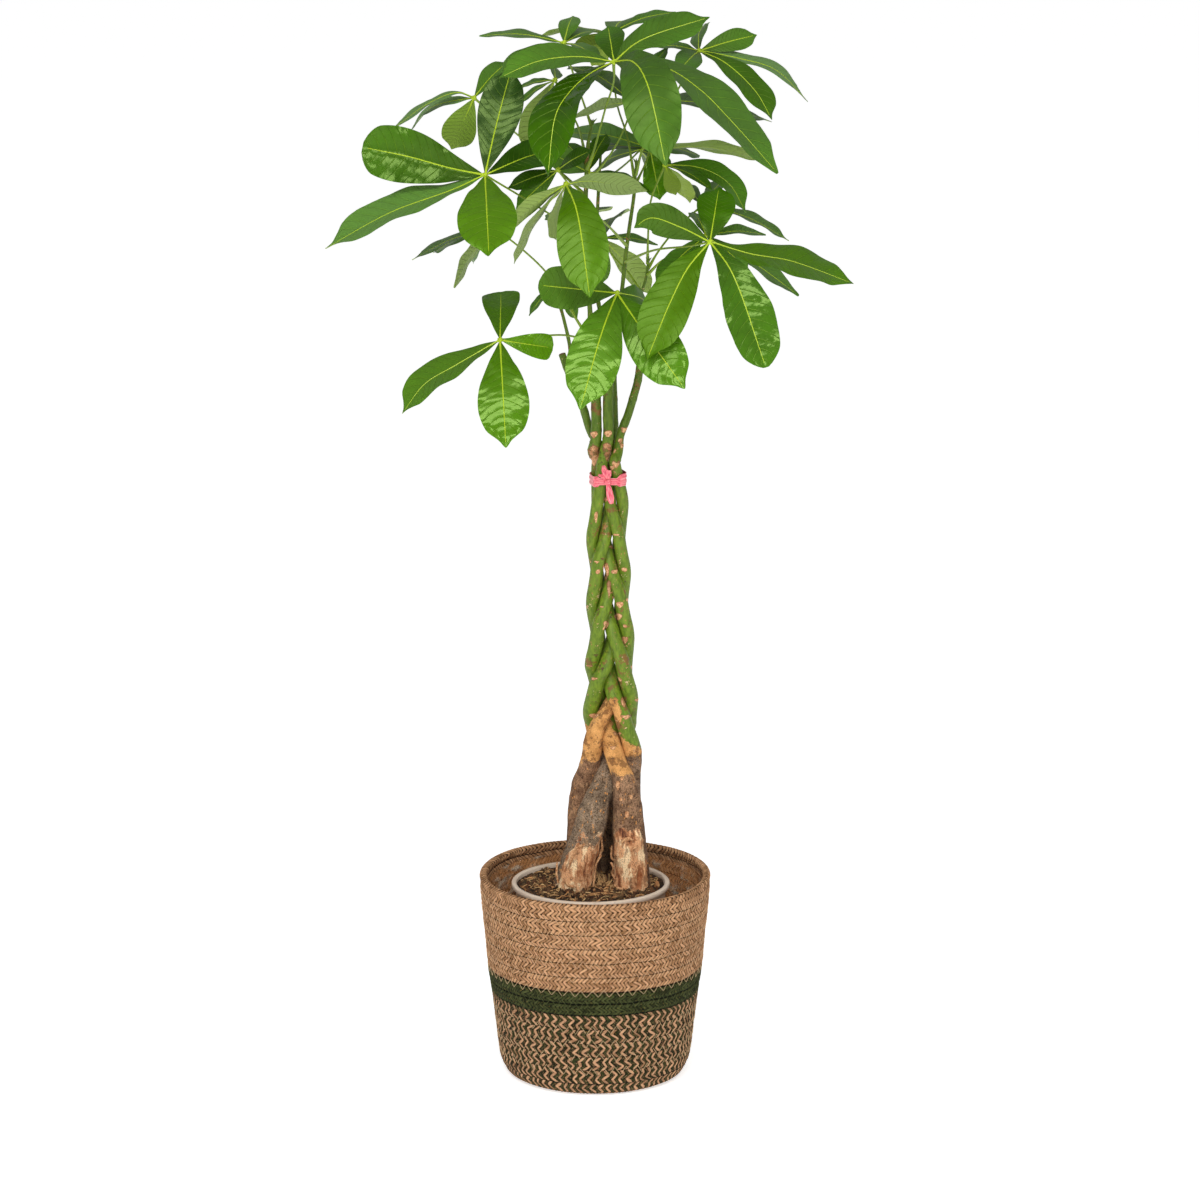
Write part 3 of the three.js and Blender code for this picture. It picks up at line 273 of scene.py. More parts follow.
SWAY_REACH = 32                     # their sway reaches
JOINT_PITCH = 21                    # from one swollen joint of a stem to the next
# Tan marks on the front of the trunks: their place and half sizes in the picture, and how
# solid they are.
MARKS = [
    (594, 435, 4.2, 3, 1), (608, 434, 4.2, 3, 1), (624, 430, 4, 2.6, 1), (620, 441, 2.6, 2, 1),
    (622, 446, 2.2, 1.6, 1), (594, 456, 7, 11, 0.52), (607, 452, 6, 10, 0.5), (616, 464, 5, 4, 0.8),
    (596, 518, 1.8, 6, 0.9), (606, 572, 3.6, 9, 0.75), (609, 590, 2.4, 10, 0.55), (620, 605, 4, 3, 0.9),
    (618, 617, 5, 3.5, 0.8), (613, 598, 1.5, 1.5, 0.9), (606, 625, 3, 4, 0.7), (625, 640, 4, 4, 0.6),
    (594, 716, 6, 2.4, 0.8), (626, 717, 6, 2.2, 0.8), (624, 702, 4, 6, 0.5), (617, 734, 5, 1.6, 0.9),
    (613, 748, 3, 2, 1), (618, 786, 2, 5, 1), (622, 779, 1.8, 2, 1), (627, 815, 2.4, 4, 1),
    (631, 797, 2.2, 2, 1), (621, 800, 1.4, 2, 0.9), (623, 822, 2, 3, 0.6), (597, 562, 3, 1.4, 0.8),
    (602, 607, 2, 1, 0.9), (584, 632, 3, 1.6, 0.7), (613, 548, 3, 1, 0.7), (606, 500, 3, 1.4, 0.8),
]
# Loose strips of bark at the torn foot of a trunk: their way in the picture, their width.
PEELS = {
    "trunk_front_left": [
        ([(586, 844), (578, 846), (573, 855), (569, 868)], 1.6),
        ([(604, 858), (598, 864), (593, 874), (590, 886)], 2.2),
        ([(601, 846), (600, 852), (597, 858)], 1.6),
        ([(599, 836), (602, 843), (603, 852)], 1.8),
        ([(560, 862), (558, 872), (561, 882)], 1.5),
        ([(566, 880), (570, 885), (576, 887)], 1.6),
    ],
    "trunk_front_right": [
        ([(615, 845), (612, 850), (613, 857), (617, 860)], 2.0),
        ([(612, 862), (615, 867), (613, 873), (617, 878)], 2.2),
        ([(636, 846), (632, 850), (634, 856)], 1.5),
        ([(636, 868), (634, 876), (636, 884)], 1.6),
        ([(622, 842), (627, 838), (632, 840)], 1.6),
        ([(617, 884), (622, 889), (630, 888)], 1.8),
        ([(640, 860), (643, 868), (642, 876)], 1.5),
    ],
}

# Looks of a leaflet: light, yellow, grey and gloss, from 0 to 1.  The light share also carries painted
# light and shade: DARK and SHADY leaflets are painted dark where they sit in shade, and some shaded
# leaflets are painted paler as painted light.
PLAIN, MATT, BRIGHT = (0.5, 0.35, 0.2, 0.4), (0.32, 0.3, 0.12, 0.15), (0.6, 0.6, 0.0, 1.0)
DARK, GLOSSY, GREEN_BLUE = (0.3, 0.2, 0.0, 0.5), (0.3, 0.3, 0.0, 1.0), (0.12, 0.0, 0.2, 0.6)
PALE, GREY, YELLOW = (0.9, 0.5, 0.6, 0.3), (0.8, 0.2, 0.9, 0.25), (0.85, 1.0, 0.0, 0.9)
VIVID, SHADY = (0.2, 0.75, 0.0, 0.45), (0.1, 0.4, 0.0, 0.25)


def blade(tip, shows, *via, blunt=1.0, look=PLAIN):
    """A leaflet by its tip, the width it shows in pixels (below zero where the underside shows),
    the midrib's way where it bends, and how much of the outline is left where the tip is bent
    under or bitten off."""
    return {"tip": tip, "shows": shows, "via": via, "blunt": blunt, "look": look}


# Each leaf: its hub, the petiole's way back to the trunk's shoot, and its leaflets.
LEAVES = {
    "leaf_a": ((485, 175, -90), ((517, 194, -65), (556, 218, -22), (587, 240, 0)), (
        blade((362, 147, -100), 54, (450, 168), (410, 157), blunt=0.86, look=GLOSSY),
        blade((325, 249, -120), 29, (455, 189), (390, 213), look=PALE),
        blade((489, 256, -190), 58, look=VIVID),
        blade((512, 66, -40), 43, (495, 130), look=GREEN_BLUE),
        blade((560, 148, -30), 30, look=DARK),
    )),
    "leaf_b": ((500, 340, -60), ((558, 335, -45), (576, 337, -22), (592, 341, 0)), (
        blade((501, 292, 10), 38, blunt=0.76, look=VIVID),
        blade((402, 414, -80), 28, (453, 367), (425, 384), look=VIVID),
        blade((506, 448, -120), 51, look=BRIGHT),
        blade((553, 348, -50), 26, blunt=0.76, look=YELLOW),
    )),
    "leaf_c": ((614, 62, -60), ((614, 80, -52), (605, 110, -30), (594, 150, -12), (586, 172, 0)), (
        blade((499, 78, -90), 26, (580, 57), (540, 61), look=MATT),
        blade((548, 176, -150), 36, (590, 74), (570, 92), (556, 115), look=GLOSSY),
        blade((666, 166, -170), 56, (633, 62), (647, 83), look=MATT),
        blade((778, 174, -110), 31, (665, 68), (700, 90), (730, 120), look=MATT),
        blade((608, 26, 0), 30, look=MATT),
        blade((710, 17, -20), 32, (640, 41), look=MATT),
    )),
    "leaf_d": ((566, 184, -100), ((582, 206, -80), (604, 222, -50), (630, 246, 0)), (
        blade((590, 298, -180), 50, (577, 212), look=VIVID),
        blade((506, 232, -110), -16, look=PALE),
        blade((514, 264, -60), -10, look=PALE),
        blade((647, 191, -60), -22, (590, 181), look=GREY),
        blade((556, 240, -40), -12, look=PALE),
    )),
    "leaf_e": ((710, 242, -110), ((690, 246, -100), (655, 250, -60), (628, 262, 0)), (
        blade((719, 187, -60), 38, look=DARK),
        blade((634, 228, -120), 32, (680, 227), (650, 218), look=SHADY),
        blade((647, 360, -170), 46, (688, 268), (670, 303), look=VIVID),
        blade((766, 368, -170), 46, (732, 273), blunt=0.93, look=GLOSSY),
        blade((854, 284, -120), 30, (750, 254), (790, 261), look=VIVID),
    )),
    "leaf_f": ((617, 293, -110), ((619, 296, -60), (621, 300, 0)), (
        blade((538, 285, -150), 42, blunt=0.88, look=SHADY),
        blade((580, 410, -190), 52, (602, 332), look=BRIGHT),
        blade((685, 389, -170), 50, (639, 325), look=BRIGHT),
        blade((650, 305, -40), 20),
    )),
    "leaf_g": ((588, 172, 14), ((587, 180, 8), (586, 190, 0)), (
        blade((545, 150, -20), 25),
        blade((566, 143, 60), 18, look=DARK),
        blade((607, 134, 60), 18, look=DARK),
        blade((652, 193, 40), 10),
    )),
    "leaf_h": ((474, 98, 60), ((512, 130, 52), (545, 158, 30), (586, 196, 0)), (
        blade((388, 133, 60), 7, (458, 93), (430, 103), look=GREY),
        blade((408, 134, 110), 8, (445, 103), (430, 109), look=GREY),
        blade((451, 149, 10), -34, look=SHADY),
        blade((508, 62, 110), 20),
    )),
    "leaf_i": ((564, 43, 60), ((572, 70, 52), (584, 104, 26), (592, 128, 0)), (
        blade((479, 36, 70), 10),
        blade((573, 16, 120), 21),
        blade((500, 72, 10), 18),
        blade((597, 60, -5), 12),
        blade((604, 33, 140), 8),
    )),
    "leaf_j": ((699, 51, 30), ((672, 100, 0), (644, 145, 2), (635, 178, 0)), (
        blade((757, 35, 60), 23, look=MATT),
        blade((808, 102, 40), 13, (740, 59), (775, 70), look=GREY),
        blade((772, 120, -30), 26, (725, 63), (755, 91), look=MATT),
        blade((678, 72, -40), 25),
        blade((653, 47, 60), 9),
        blade((705, 24, 100), 14),
    )),
    "leaf_k": ((650, 148, 60), ((646, 162, 40), (636, 186, 0)), (
        blade((766, 160, 60), -9),
        blade((563, 133, 115), 22, look=GREY),
        blade((575, 156, 130), 10),
        blade((660, 200, 62), 27, look=BRIGHT),
    )),
    "leaf_l": ((665, 165, 30), ((651, 200, 26), (648, 240, 16), (648, 266, 10)), (
        blade((746, 213, 30), 20, (700, 168), (728, 183)),
        blade((712, 190, -10), 9),
        blade((676, 195, 0), -17, look=YELLOW),
        blade((690, 203, 80), -15, look=YELLOW),
    )),
    "leaf_m": ((703, 205, 80), ((680, 225, 60), (658, 252, 24), (648, 270, 10)), (
        blade((789, 241, 80), 10),
        blade((735, 175, 150), 16),
        blade((668, 182, 150), 14),
        blade((742, 214, 170), 12),
    )),
    "leaf_n": ((494, 229, 10), ((508, 238, 10), (545, 271, 8), (568, 306, 5), (592, 345, 0)), (
        blade((412, 260, 0), 9, look=BRIGHT),
        blade((433, 253, 50), 10, look=BRIGHT),
        blade((454, 288, -40), -10, look=PALE),
        blade((472, 261, 70), 14, look=PALE),
    )),
    "leaf_o": ((555, 80, 130), ((566, 104, 116), (577, 124, 90), (588, 160, 0)), (
        blade((516, 90, 150), 6),
        blade((520, 104, 110), 6),
        blade((545, 60, 210), 8),
        blade((524, 152, 80), -26, look=PALE),
    )),
    "leaf_p": ((558, 170, -30), ((570, 186, -20), (586, 206, 0)), (
        blade((508, 188, -30), 17, look=DARK),
        blade((516, 209, -30), 20, look=DARK),
        blade((592, 150, -60), 16, look=DARK),
    )),
    "leaf_q": ((632, 102, 20), ((626, 124, 16), (612, 152, 8), (588, 184, 0)), (
        blade((572, 118, -40), -13, look=GREY),
        blade((772, 122, 80), 14, look=DARK),
        blade((668, 47, 60), 15, look=DARK),
        blade((568, 66, 110), 18, look=DARK),
        blade((640, 112, 130), 14),
    )),
    "leaf_r": ((611, 33, 150), ((616, 98, 110), (628, 140, 30), (634, 184, 0)), (
        blade((540, 36, 160), -5),
        blade((573, 54, 110), -20, look=YELLOW),
        blade((592, 66, 100), -22, look=YELLOW),
        blade((676, 12, 170), 9),
        blade((632, 22, 250), 12),
    )),
    "leaf_s": ((602, 238, 60), ((613, 256, 54), (628, 272, 30), (641, 292, 12)), (
        blade((658, 245, 80), 9),
        blade((651, 295, 70), -24, look=PALE),
        blade((600, 286, 40), 20),
        blade((622, 215, 170), 12),
    )),
    "leaf_t": ((556, 285, 26), ((557, 290, 20), (560, 303, 10)), (
        blade((529, 316, 10), 8),
        blade((577, 319, 40), 14),
        blade((570, 272, 90), 12),
    )),
    "leaf_u": ((706, 236, -20), ((682, 252, -10), (663, 260, 0), (647, 276, 10)), (
        blade((655, 286, -60), 22),
        blade((692, 212, 30), 14),
        blade((766, 235, 20), 9),
        blade((749, 272, -50), 18),
        blade((799, 296, -20), 14, (752, 262)),
    )),
    "leaf_v": ((640, 150, 150), ((628, 162, 120), (600, 184, 44)), (
        blade((700, 156, 220), 12),
        blade((648, 180, 270), 20),
        blade((590, 176, 240), 14),
        blade((620, 130, 230), 12),
        blade((672, 168, 120), 12),
    )),
    "leaf_w": ((585, 215, 130), ((590, 222, 100), (596, 236, 36)), (
        blade((545, 216, 190), 14),
        blade((580, 262, 210), 26),
        blade((560, 200, 110), 12),
        blade((600, 212, 230), 12),
    )),
}


# ---------------------------------------------------------------- curves and noise

class Curve:
    """A smooth curve through points, read by share of its spans or of its length."""

    STEPS = 200
    REACH = 1e-4

    def __init__(self, points):
        points = np.array(points, float)
        self.points = np.vstack((2 * points[0] - points[1], points, 2 * points[-1] - points[-2]))
        self.shares = np.linspace(0, 1, self.STEPS + 1)
        steps = np.linalg.norm(np.diff(self.point(self.shares), axis=0), axis=1)
        self.run = np.concatenate(((0,), np.cumsum(steps)))
        self.length = self.run[-1]

    def point(self, share):
        spans = len(self.points) - 3
        place = np.clip(np.atleast_1d(share), 0, 1) * spans
        span = np.minimum(place.astype(int), spans - 1)
        t = (place - span)[:, None]
        before, start, end, after = (self.points[span + k] for k in range(4))
        pairs = ((before, start), (start, end), (end, after))
        d0, d1, d2 = (np.linalg.norm(b - a, axis=1, keepdims=True) ** 0.5 for a, b in pairs)
        leave = ((start - before) / d0 - (end - before) / (d0 + d1) + (end - start) / d1) * d1
        arrive = ((end - start) / d1 - (after - start) / (d1 + d2) + (after - end) / d2) * d1
        square = -3 * start + 3 * end - 2 * leave - arrive
        cube = 2 * start - 2 * end + leave + arrive
        return start + leave * t + square * t ** 2 + cube * t ** 3

    def tangent(self, share):
        ahead = self.point(np.clip(np.atleast_1d(share) + self.REACH, 0, 1))
        behind = self.point(np.clip(np.atleast_1d(share) - self.REACH, 0, 1))
        return unit(ahead - behind)

    def by_length(self, part):
        """The share of spans at a share of the whole length."""
        return np.interp(np.asarray(part) * self.length, self.run, self.shares)


def unit(vectors):
    return vectors / np.linalg.norm(vectors, axis=-1, keepdims=True)


def smooth(share):
    share = np.clip(share, 0, 1)
    return share * share * (3 - 2 * share)


def pingpong(value, height):
    """A zigzag of that height, 0 where the value is 0."""
    return height - np.abs(np.abs(value) % (2 * height) - height)


def hashed(cells):
    """A fixed number from 0 to 1 for each row of three whole numbers."""
    word = 0xFFFFFFFF
    x, y, z = (cells[..., k].astype(np.int64) for k in range(3))
    mixed = (x * 73856093 ^ y * 19349663 ^ z * 83492791) & word
    mixed = (mixed * 2654435761) & word
    mixed ^= mixed >> 15
    mixed = (mixed * 2246822519) & word
    return (mixed ^ (mixed >> 13)) / word


def lumps(points, size, seed=0):
    """Smooth noise from -1 to 1 at each point, with lumps of that size."""
    place = np.asarray(points, float) / size + 17.31 * seed
    cell = np.floor(place).astype(np.int64)
    share = smooth(place - cell)
    total = np.zeros(place.shape[:-1])
    for corner in itertools.product((0, 1), repeat=3):
        weight = np.prod(np.where(np.array(corner) == 1, share, 1 - share), axis=-1)
        total += weight * (2 * hashed(cell + np.array(corner)) - 1)
    return total


# ---------------------------------------------------------------- meshes

def whole_turn(count):
    """That many even angles round a circle."""
    return np.arange(count) / count * 2 * math.pi


def around(radius, turn, height):
    """Points by their distance and turn from the upright axis, and their height."""
    parts = np.broadcast_arrays(radius * np.cos(turn), radius * np.sin(turn), height)
    return np.stack(parts, axis=-1)


def circle(sides, normal, across):
    turns = whole_turn(sides)[:, None]
    return np.cos(turns) * normal + np.sin(turns) * across


def square_to(along, vector):
    """For each way, the unit vector square to it that is nearest to a common one."""
    vector = np.array(vector, float)
    return unit(vector - along * (along @ vector)[:, None])


def spread_over(shares, values):
    """Values that stand evenly over a run, read at shares of it."""
    return np.interp(shares, np.linspace(0, 1, len(values)), values)


def placed(name, data):
    """A new object, linked to the scene."""
    thing = bpy.data.objects.new(name, data)
    bpy.context.scene.collection.objects.link(thing)
    return thing


def corners_of(grid):
    """The four corners of every cell of a grid, in turning order."""
    return np.stack((grid[:-1, :-1], grid[:-1, 1:], grid[1:, 1:], grid[1:, :-1]), axis=2)


def fill(items, name, values, kind=np.int32):
    items.foreach_set(name, values.astype(kind).ravel())


class Skin:
    """Closed bodies made of grids, gathered into one mesh."""

    def __init__(self):
        self.points, self.corners, self.sizes = [], [], []
        self.maps, self.finishes, self.tones = [], [], []
        self.count = 0

    def faces(self, corners, size, maps, finish):
        number = corners.size // size
        self.corners.append(corners.reshape(-1))
        self.sizes.append(np.full(number, size))
        self.maps.append(maps.reshape(-1, 2))
        self.finishes.append(np.broadcast_to(finish, (number,)))

    def grid(self, points, uv=None, finish=0, loop=False, tone=(0, 0, 0, 0)):
        """Closed rings of points, the last joined to the first if loop is set, or else capped.

        Where the finish differs by column, the faces of finish 1 are split along their other
        diagonal, so that both sides of a thin blade are split alike.
        """
        rows, columns = points.shape[:2]
        index = self.count + np.arange(rows * columns).reshape(rows, columns)
        index = np.hstack((index, index[:, :1]))
        if loop:
            index = np.vstack((index, index[:1]))
        if uv is None:
            shares = [np.linspace(0, 1, count) for count in reversed(index.shape)]
            uv = np.stack(np.meshgrid(*shares), axis=-1)
        quads, maps = corners_of(index), corners_of(uv)
        flat = points.reshape(-1, 3)
        flat = flat - flat.mean(axis=0)
        a, b, c, d = (flat[quads[..., k] - self.count] for k in range(4))
        inward = np.sum(np.cross(b, c) * a) + np.sum(np.cross(c, d) * a) < 0
        turn = slice(None, None, -1) if inward else slice(None)
        per_face = np.asarray(finish)
        if per_face.ndim:
            other = np.broadcast_to(per_face == 1, quads.shape[:2])[..., None]
            quads = np.where(other, np.roll(quads, 1, axis=-1), quads)
            maps = np.where(other[..., None], np.roll(maps, 1, axis=-2), maps)
            per_face = np.broadcast_to(per_face, quads.shape[:2]).reshape(-1)
        self.faces(quads[..., turn], 4, maps[..., turn, :], per_face)
        if not loop:
            cap_finish = per_face if per_face.ndim == 0 else per_face[0]
            for ring, uvs, way in ((index[0], uv[0], -1), (index[-1], uv[-1], 1)):
                order = slice(None, None, way * (-1 if inward else 1))
                self.faces(ring[:columns][order], columns, uvs[:columns][order], cap_finish)
        self.points.append(points.reshape(-1, 3))
        self.tones.append(np.broadcast_to(tone, (rows, columns, 4)).reshape(-1, 4))
        self.count += rows * columns

    def tube(self, path, radii, sides, start=TUBE_START, **options):
        """A tube along the whole of a Curve, its radii spread evenly over it."""
        shares = np.linspace(0, 1, len(radii))
        self.grid(tube_rings(path, shares, radii, sides, start), **options)

    def build(self, name, materials, slot, *nodes, sharp=50):
        """One piece of all bodies, in place of the nodes if there are any."""
        mesh = bpy.data.meshes.new(name)
        parts = (self.points, self.corners, self.sizes, self.maps, self.finishes, self.tones)
        points, corners, sizes, maps, finishes, tones = map(np.concatenate, parts)
        mesh.vertices.add(len(points))
        fill(mesh.vertices, "co", points * MM, float)
        mesh.loops.add(len(corners))
        fill(mesh.loops, "vertex_index", corners)
        mesh.polygons.add(len(sizes))
        fill(mesh.polygons, "loop_start", np.cumsum(sizes) - sizes)
        mesh.update(calc_edges=True)
        for material in materials:
            mesh.materials.append(material)
        fill(mesh.polygons, "material_index", finishes)
        fill(mesh.uv_layers.new(name="plan").data, "uv", maps, np.float32)
        shares = mesh.color_attributes.new("tone", "FLOAT_COLOR", "POINT")
        fill(shares.data, "color", tones, np.float32)
        mesh.shade_smooth()
        mesh.set_sharp_from_angle(angle=math.radians(sharp))
        piece = placed(name, mesh)
        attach(piece, "root")
        if nodes:
            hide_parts(*nodes)
        return piece


def tube_rings(path, shares, radii, sides, start):
    normal = np.array(start, float)
    rings = []
    for centre, tangent, radius in zip(path.point(shares), path.tangent(shares), radii):
        normal = unit(normal - tangent * normal.dot(tangent))
        rings.append(centre + radius * circle(sides, normal, np.cross(tangent, normal)))
    return np.array(rings)


def turned(profile, columns, x=0.0):
    """Rings round the upright axis from (radius, height) pairs."""
    radius, height = (np.array(part, float)[:, None] for part in zip(*profile))
    return around(radius, whole_turn(columns), height) + (x, 0, 0)


# ---------------------------------------------------------------- material nodes

def srgb(red, green, blue):
    """A colour as seen on a screen, 0 to 255, for a shader."""
    parts = [c / 255 for c in (red, green, blue)]
    return (*[c / 12.92 if c <= 0.04045 else ((c + 0.055) / 1.055) ** 2.4 for c in parts], 1.0)


class Value:
    """An output of a material's node; sums and products of it are nodes too."""

    def __init__(self, finish, socket):
        self.finish, self.socket = finish, socket

    def __add__(self, other):
        return self.finish.math("ADD", self, other)

    def __sub__(self, other):
        return self.finish.math("SUBTRACT", self, other)

    def __mul__(self, other):
        return self.finish.math("MULTIPLY", self, other)


class Finish:
    """A material whose nodes are written as calls."""

    def __init__(self, name, **plain):
        self.material = bpy.data.materials.new(name)
        self.material.use_nodes = True
        self.tree = self.material.node_tree
        self.surface = self.tree.nodes["Principled BSDF"]
        self.finish(**plain)

    def put(self, socket, value):
        if isinstance(value, Value):
            self.tree.links.new(value.socket, socket)
        else:
            socket.default_value = value

    def node(self, kind, inputs, output=0, **settings):
        """Adds a node, its inputs given by place or by name, and gives one of its outputs."""
        made = self.tree.nodes.new("ShaderNode" + kind)
        for key, value in settings.items():
            setattr(made, key, value)
        pairs = inputs.items() if isinstance(inputs, dict) else enumerate(inputs)
        for key, value in pairs:
            self.put(made.inputs[key], value)
        return Value(self, made.outputs[output])

    def parts(self, kind, whole):
        """The three parts of a vector or colour."""
        split = self.node(kind, (whole,)).socket.node
        return [Value(self, socket) for socket in split.outputs[:3]]

    def math(self, operation, *values):
        return self.node("Math", values, operation=operation)

    def places(self):
        return self.node("TexCoord", (), "Object")

    def plan(self):
        """Both parts of the piece's own flat map."""
        return self.parts("SeparateXYZ", self.node("UVMap", (), uv_map="plan"))[:2]

    def tone(self):
        """The four shares that the mesh gives each of its points."""
        colour = self.node("Attribute", (), "Color", attribute_name="tone")
        return *self.parts("SeparateColor", colour), Value(self, colour.socket.node.outputs["Alpha"])

    def scaled(self, vector, *scale):
        return self.node("VectorMath", (vector, scale), operation="MULTIPLY")

    def joined(self, *parts):
        return self.node("CombineXYZ", parts)

    def noise(self, vector, scale, detail=2.0, roughness=0.5):
        inputs = {"Vector": vector, "Scale": scale, "Detail": detail, "Roughness": roughness}
        return self.node("TexNoise", inputs)

    def cells(self, vector, scale):
        return self.node("TexVoronoi", {"Vector": vector, "Scale": scale}, "Distance")

    def random(self, vector):
        return self.node("TexWhiteNoise", (vector,), "Value", noise_dimensions="3D")

    def ease(self, value, low, high, to_low=0.0, to_high=1.0):
        inputs = (value, low, high, to_low, to_high)
        return self.node("MapRange", inputs, interpolation_type="SMOOTHSTEP")

    def mix(self, share, low, high):
        return self.node("Mix", {0: share, 6: low, 7: high}, 2, data_type="RGBA")

    def stained(self, colour, stain, value, low, high, most=1.0):
        """The colour turned to the stain, at most that far, as the value goes from low to high."""
        return self.mix(self.ease(value, low, high, 0.0, most), colour, stain)

    def bump(self, height, depth):
        return self.node("Bump", {"Strength": 1.0, "Distance": depth, "Height": height})

    def finish(self, **inputs):
        for name, value in inputs.items():
            self.put(self.surface.inputs[name.replace("_", " ")], value)
        return self.material


def rope_finish(name, first, second, depth, gap=0.09):
    """Plaited rope: two strand colours, fine fibres, and painted shade darkening the grooves between
    strands, the pits at leg joints and the seams between rows.
    """
    rope = Finish(name, Roughness=0.9, Specular_IOR_Level=0.12)
    turn, row = rope.plan()
    legs = row * LEGS
    bent = rope.math("PINGPONG", legs, 1.0) * LEG_SLANT
    wobble = rope.noise(rope.joined(turn, row), 2.0, 2.0) * 0.12 - 0.06
    phase = turn + rope.math("FLOOR", row) * ROW_SLIP + bent + wobble
    strands = phase * 2.0
    is_second = rope.ease(rope.math("FRACT", phase), 0.45, 0.5)
    cell = rope.joined(rope.math("FLOOR", strands), rope.math("FLOOR", legs))
    fibre_way = rope.joined(phase * 17.0, row * 4.0)
    fibres = rope.noise(fibre_way, 1.0, 3.0, 0.7)
    patches = rope.noise(rope.places(), 30.0, 3.0)
    light = rope.random(cell) * 0.26 + fibres * 1.15 + patches * 0.1 - 0.25
    share = rope.ease(light, 0.2, 0.72)
    colour = rope.mix(is_second, rope.mix(share, *first), rope.mix(share, *second))
    strays = rope.noise(rope.scaled(fibre_way, 0.45, 2.0, 1), 1.0, 1.0)
    colour = rope.stained(colour, srgb(202, 146, 66), strays, 0.68, 0.74, 0.5)
    hairs = rope.noise(rope.joined(phase * 9.0, legs, turn), 2.2, 1.0)
    colour = rope.stained(colour, first[1], hairs, 0.6, 0.68, 0.5)
    colour = rope.mix(rope.ease(hairs, 0.34, 0.4, 0.35, 0.0), colour, depth)
    groove = rope.math("PINGPONG", strands, 0.5)
    joint = rope.math("PINGPONG", legs, 0.5)
    seam = rope.math("PINGPONG", row, 0.5)
    # Painted shade: the grooves, the pits at leg joints and the seams between rows are mixed toward the
    # dark depth colour.
    open_groove = rope.ease(groove, 0.02, 0.24) * 0.62 + 0.38
    open_pit = rope.math("MAXIMUM", rope.ease(groove, 0.08, 0.26), rope.ease(joint, 0.08, 0.24))
    open_seam = rope.ease(seam, 0.008, fibres * gap - 0.015)
    shade = open_groove * (open_pit * 0.85 + 0.15) * open_seam
    colour = rope.mix(shade, depth, colour)
    return rope.finish(Base_Color=colour, Normal=rope.bump(fibres * 0.6 + shade, 0.0012))


def grained_finish(name, dark, pale, scale, detail, depth, **plain):
    """One fine grain between two colours: sewing thread and sawn wood."""
    made = Finish(name, **plain)
    grain = made.noise(made.places(), scale, detail)
    return made.finish(Base_Color=made.mix(grain, dark, pale), Normal=made.bump(grain, depth))


def thread_finish(name, colour, shade):
    look = {"Roughness": 0.75, "Specular_IOR_Level": 0.3}
    return grained_finish(name, shade, colour, 900.0, 1.0, 0.0002, **look)


def film_finish():
    film = Finish("clear_film", Roughness=0.1, Alpha=0.22, Specular_IOR_Level=1.0)
    creases_and_glints = film.noise(film.scaled(film.places(), 1, 1, 2.2), 55.0, 3.0, 0.6)
    fine = film.noise(film.places(), 190.0, 2.0)
    # Painted glints: the crease ridges are painted near white on the clear film, as reflections.
    colour = film.mix(film.ease(creases_and_glints, 0.5, 0.66), srgb(226, 160, 98), srgb(255, 240, 214))
    return film.finish(Base_Color=colour, Normal=film.bump(creases_and_glints + fine * 0.3, 0.006))


def plastic_finish():
    plastic = Finish("taupe_plastic", Specular_IOR_Level=0.45)
    cloud = plastic.noise(plastic.places(), 30.0, 3.0)
    grain = plastic.noise(plastic.scaled(plastic.places(), 1, 1, 0.2), 700.0, 1.0)
    dust = plastic.noise(plastic.places(), 160.0, 4.0, 0.7)
    colour = plastic.mix(cloud, srgb(202, 178, 156), srgb(240, 222, 202))
    colour = plastic.stained(colour, srgb(110, 92, 76), dust, 0.55, 0.75, 0.35)
    normal = plastic.bump(grain, 0.0001)
    return plastic.finish(Base_Color=colour, Roughness=cloud * 0.25 + 0.3, Normal=normal)


def soil_finish():
    soil = Finish("potting_soil", Roughness=0.95, Specular_IOR_Level=0.2)
    crumbs = soil.cells(soil.places(), 320.0)
    dark = soil.noise(soil.places(), 140.0, 4.0, 0.7)
    specks = soil.noise(soil.places(), 420.0, 2.0, 0.6)
    colour = soil.mix(soil.ease(dark, 0.35, 0.7), srgb(24, 16, 10), srgb(76, 54, 38))
    colour = soil.stained(colour, srgb(140, 100, 64), specks, 0.6, 0.7, 0.7)
    return soil.finish(Base_Color=colour, Normal=soil.bump(crumbs + dark, 0.002))


def crumb_finish():
    """Bark crumbs and fibres: the mesh gives each its own lightness and redness."""
    crumb = Finish("soil_crumbs", Roughness=0.9, Specular_IOR_Level=0.25)
    light, red = crumb.tone()[:2]
    grain = crumb.noise(crumb.places(), 600.0, 3.0, 0.6)
    dark = crumb.mix(red, srgb(26, 18, 12), srgb(72, 42, 26))
    pale = crumb.mix(red, srgb(222, 184, 128), srgb(200, 138, 86))
    colour = crumb.mix(light + grain * 0.3 - 0.1, dark, pale)
    return crumb.finish(Base_Color=colour, Normal=crumb.bump(grain, 0.0006))


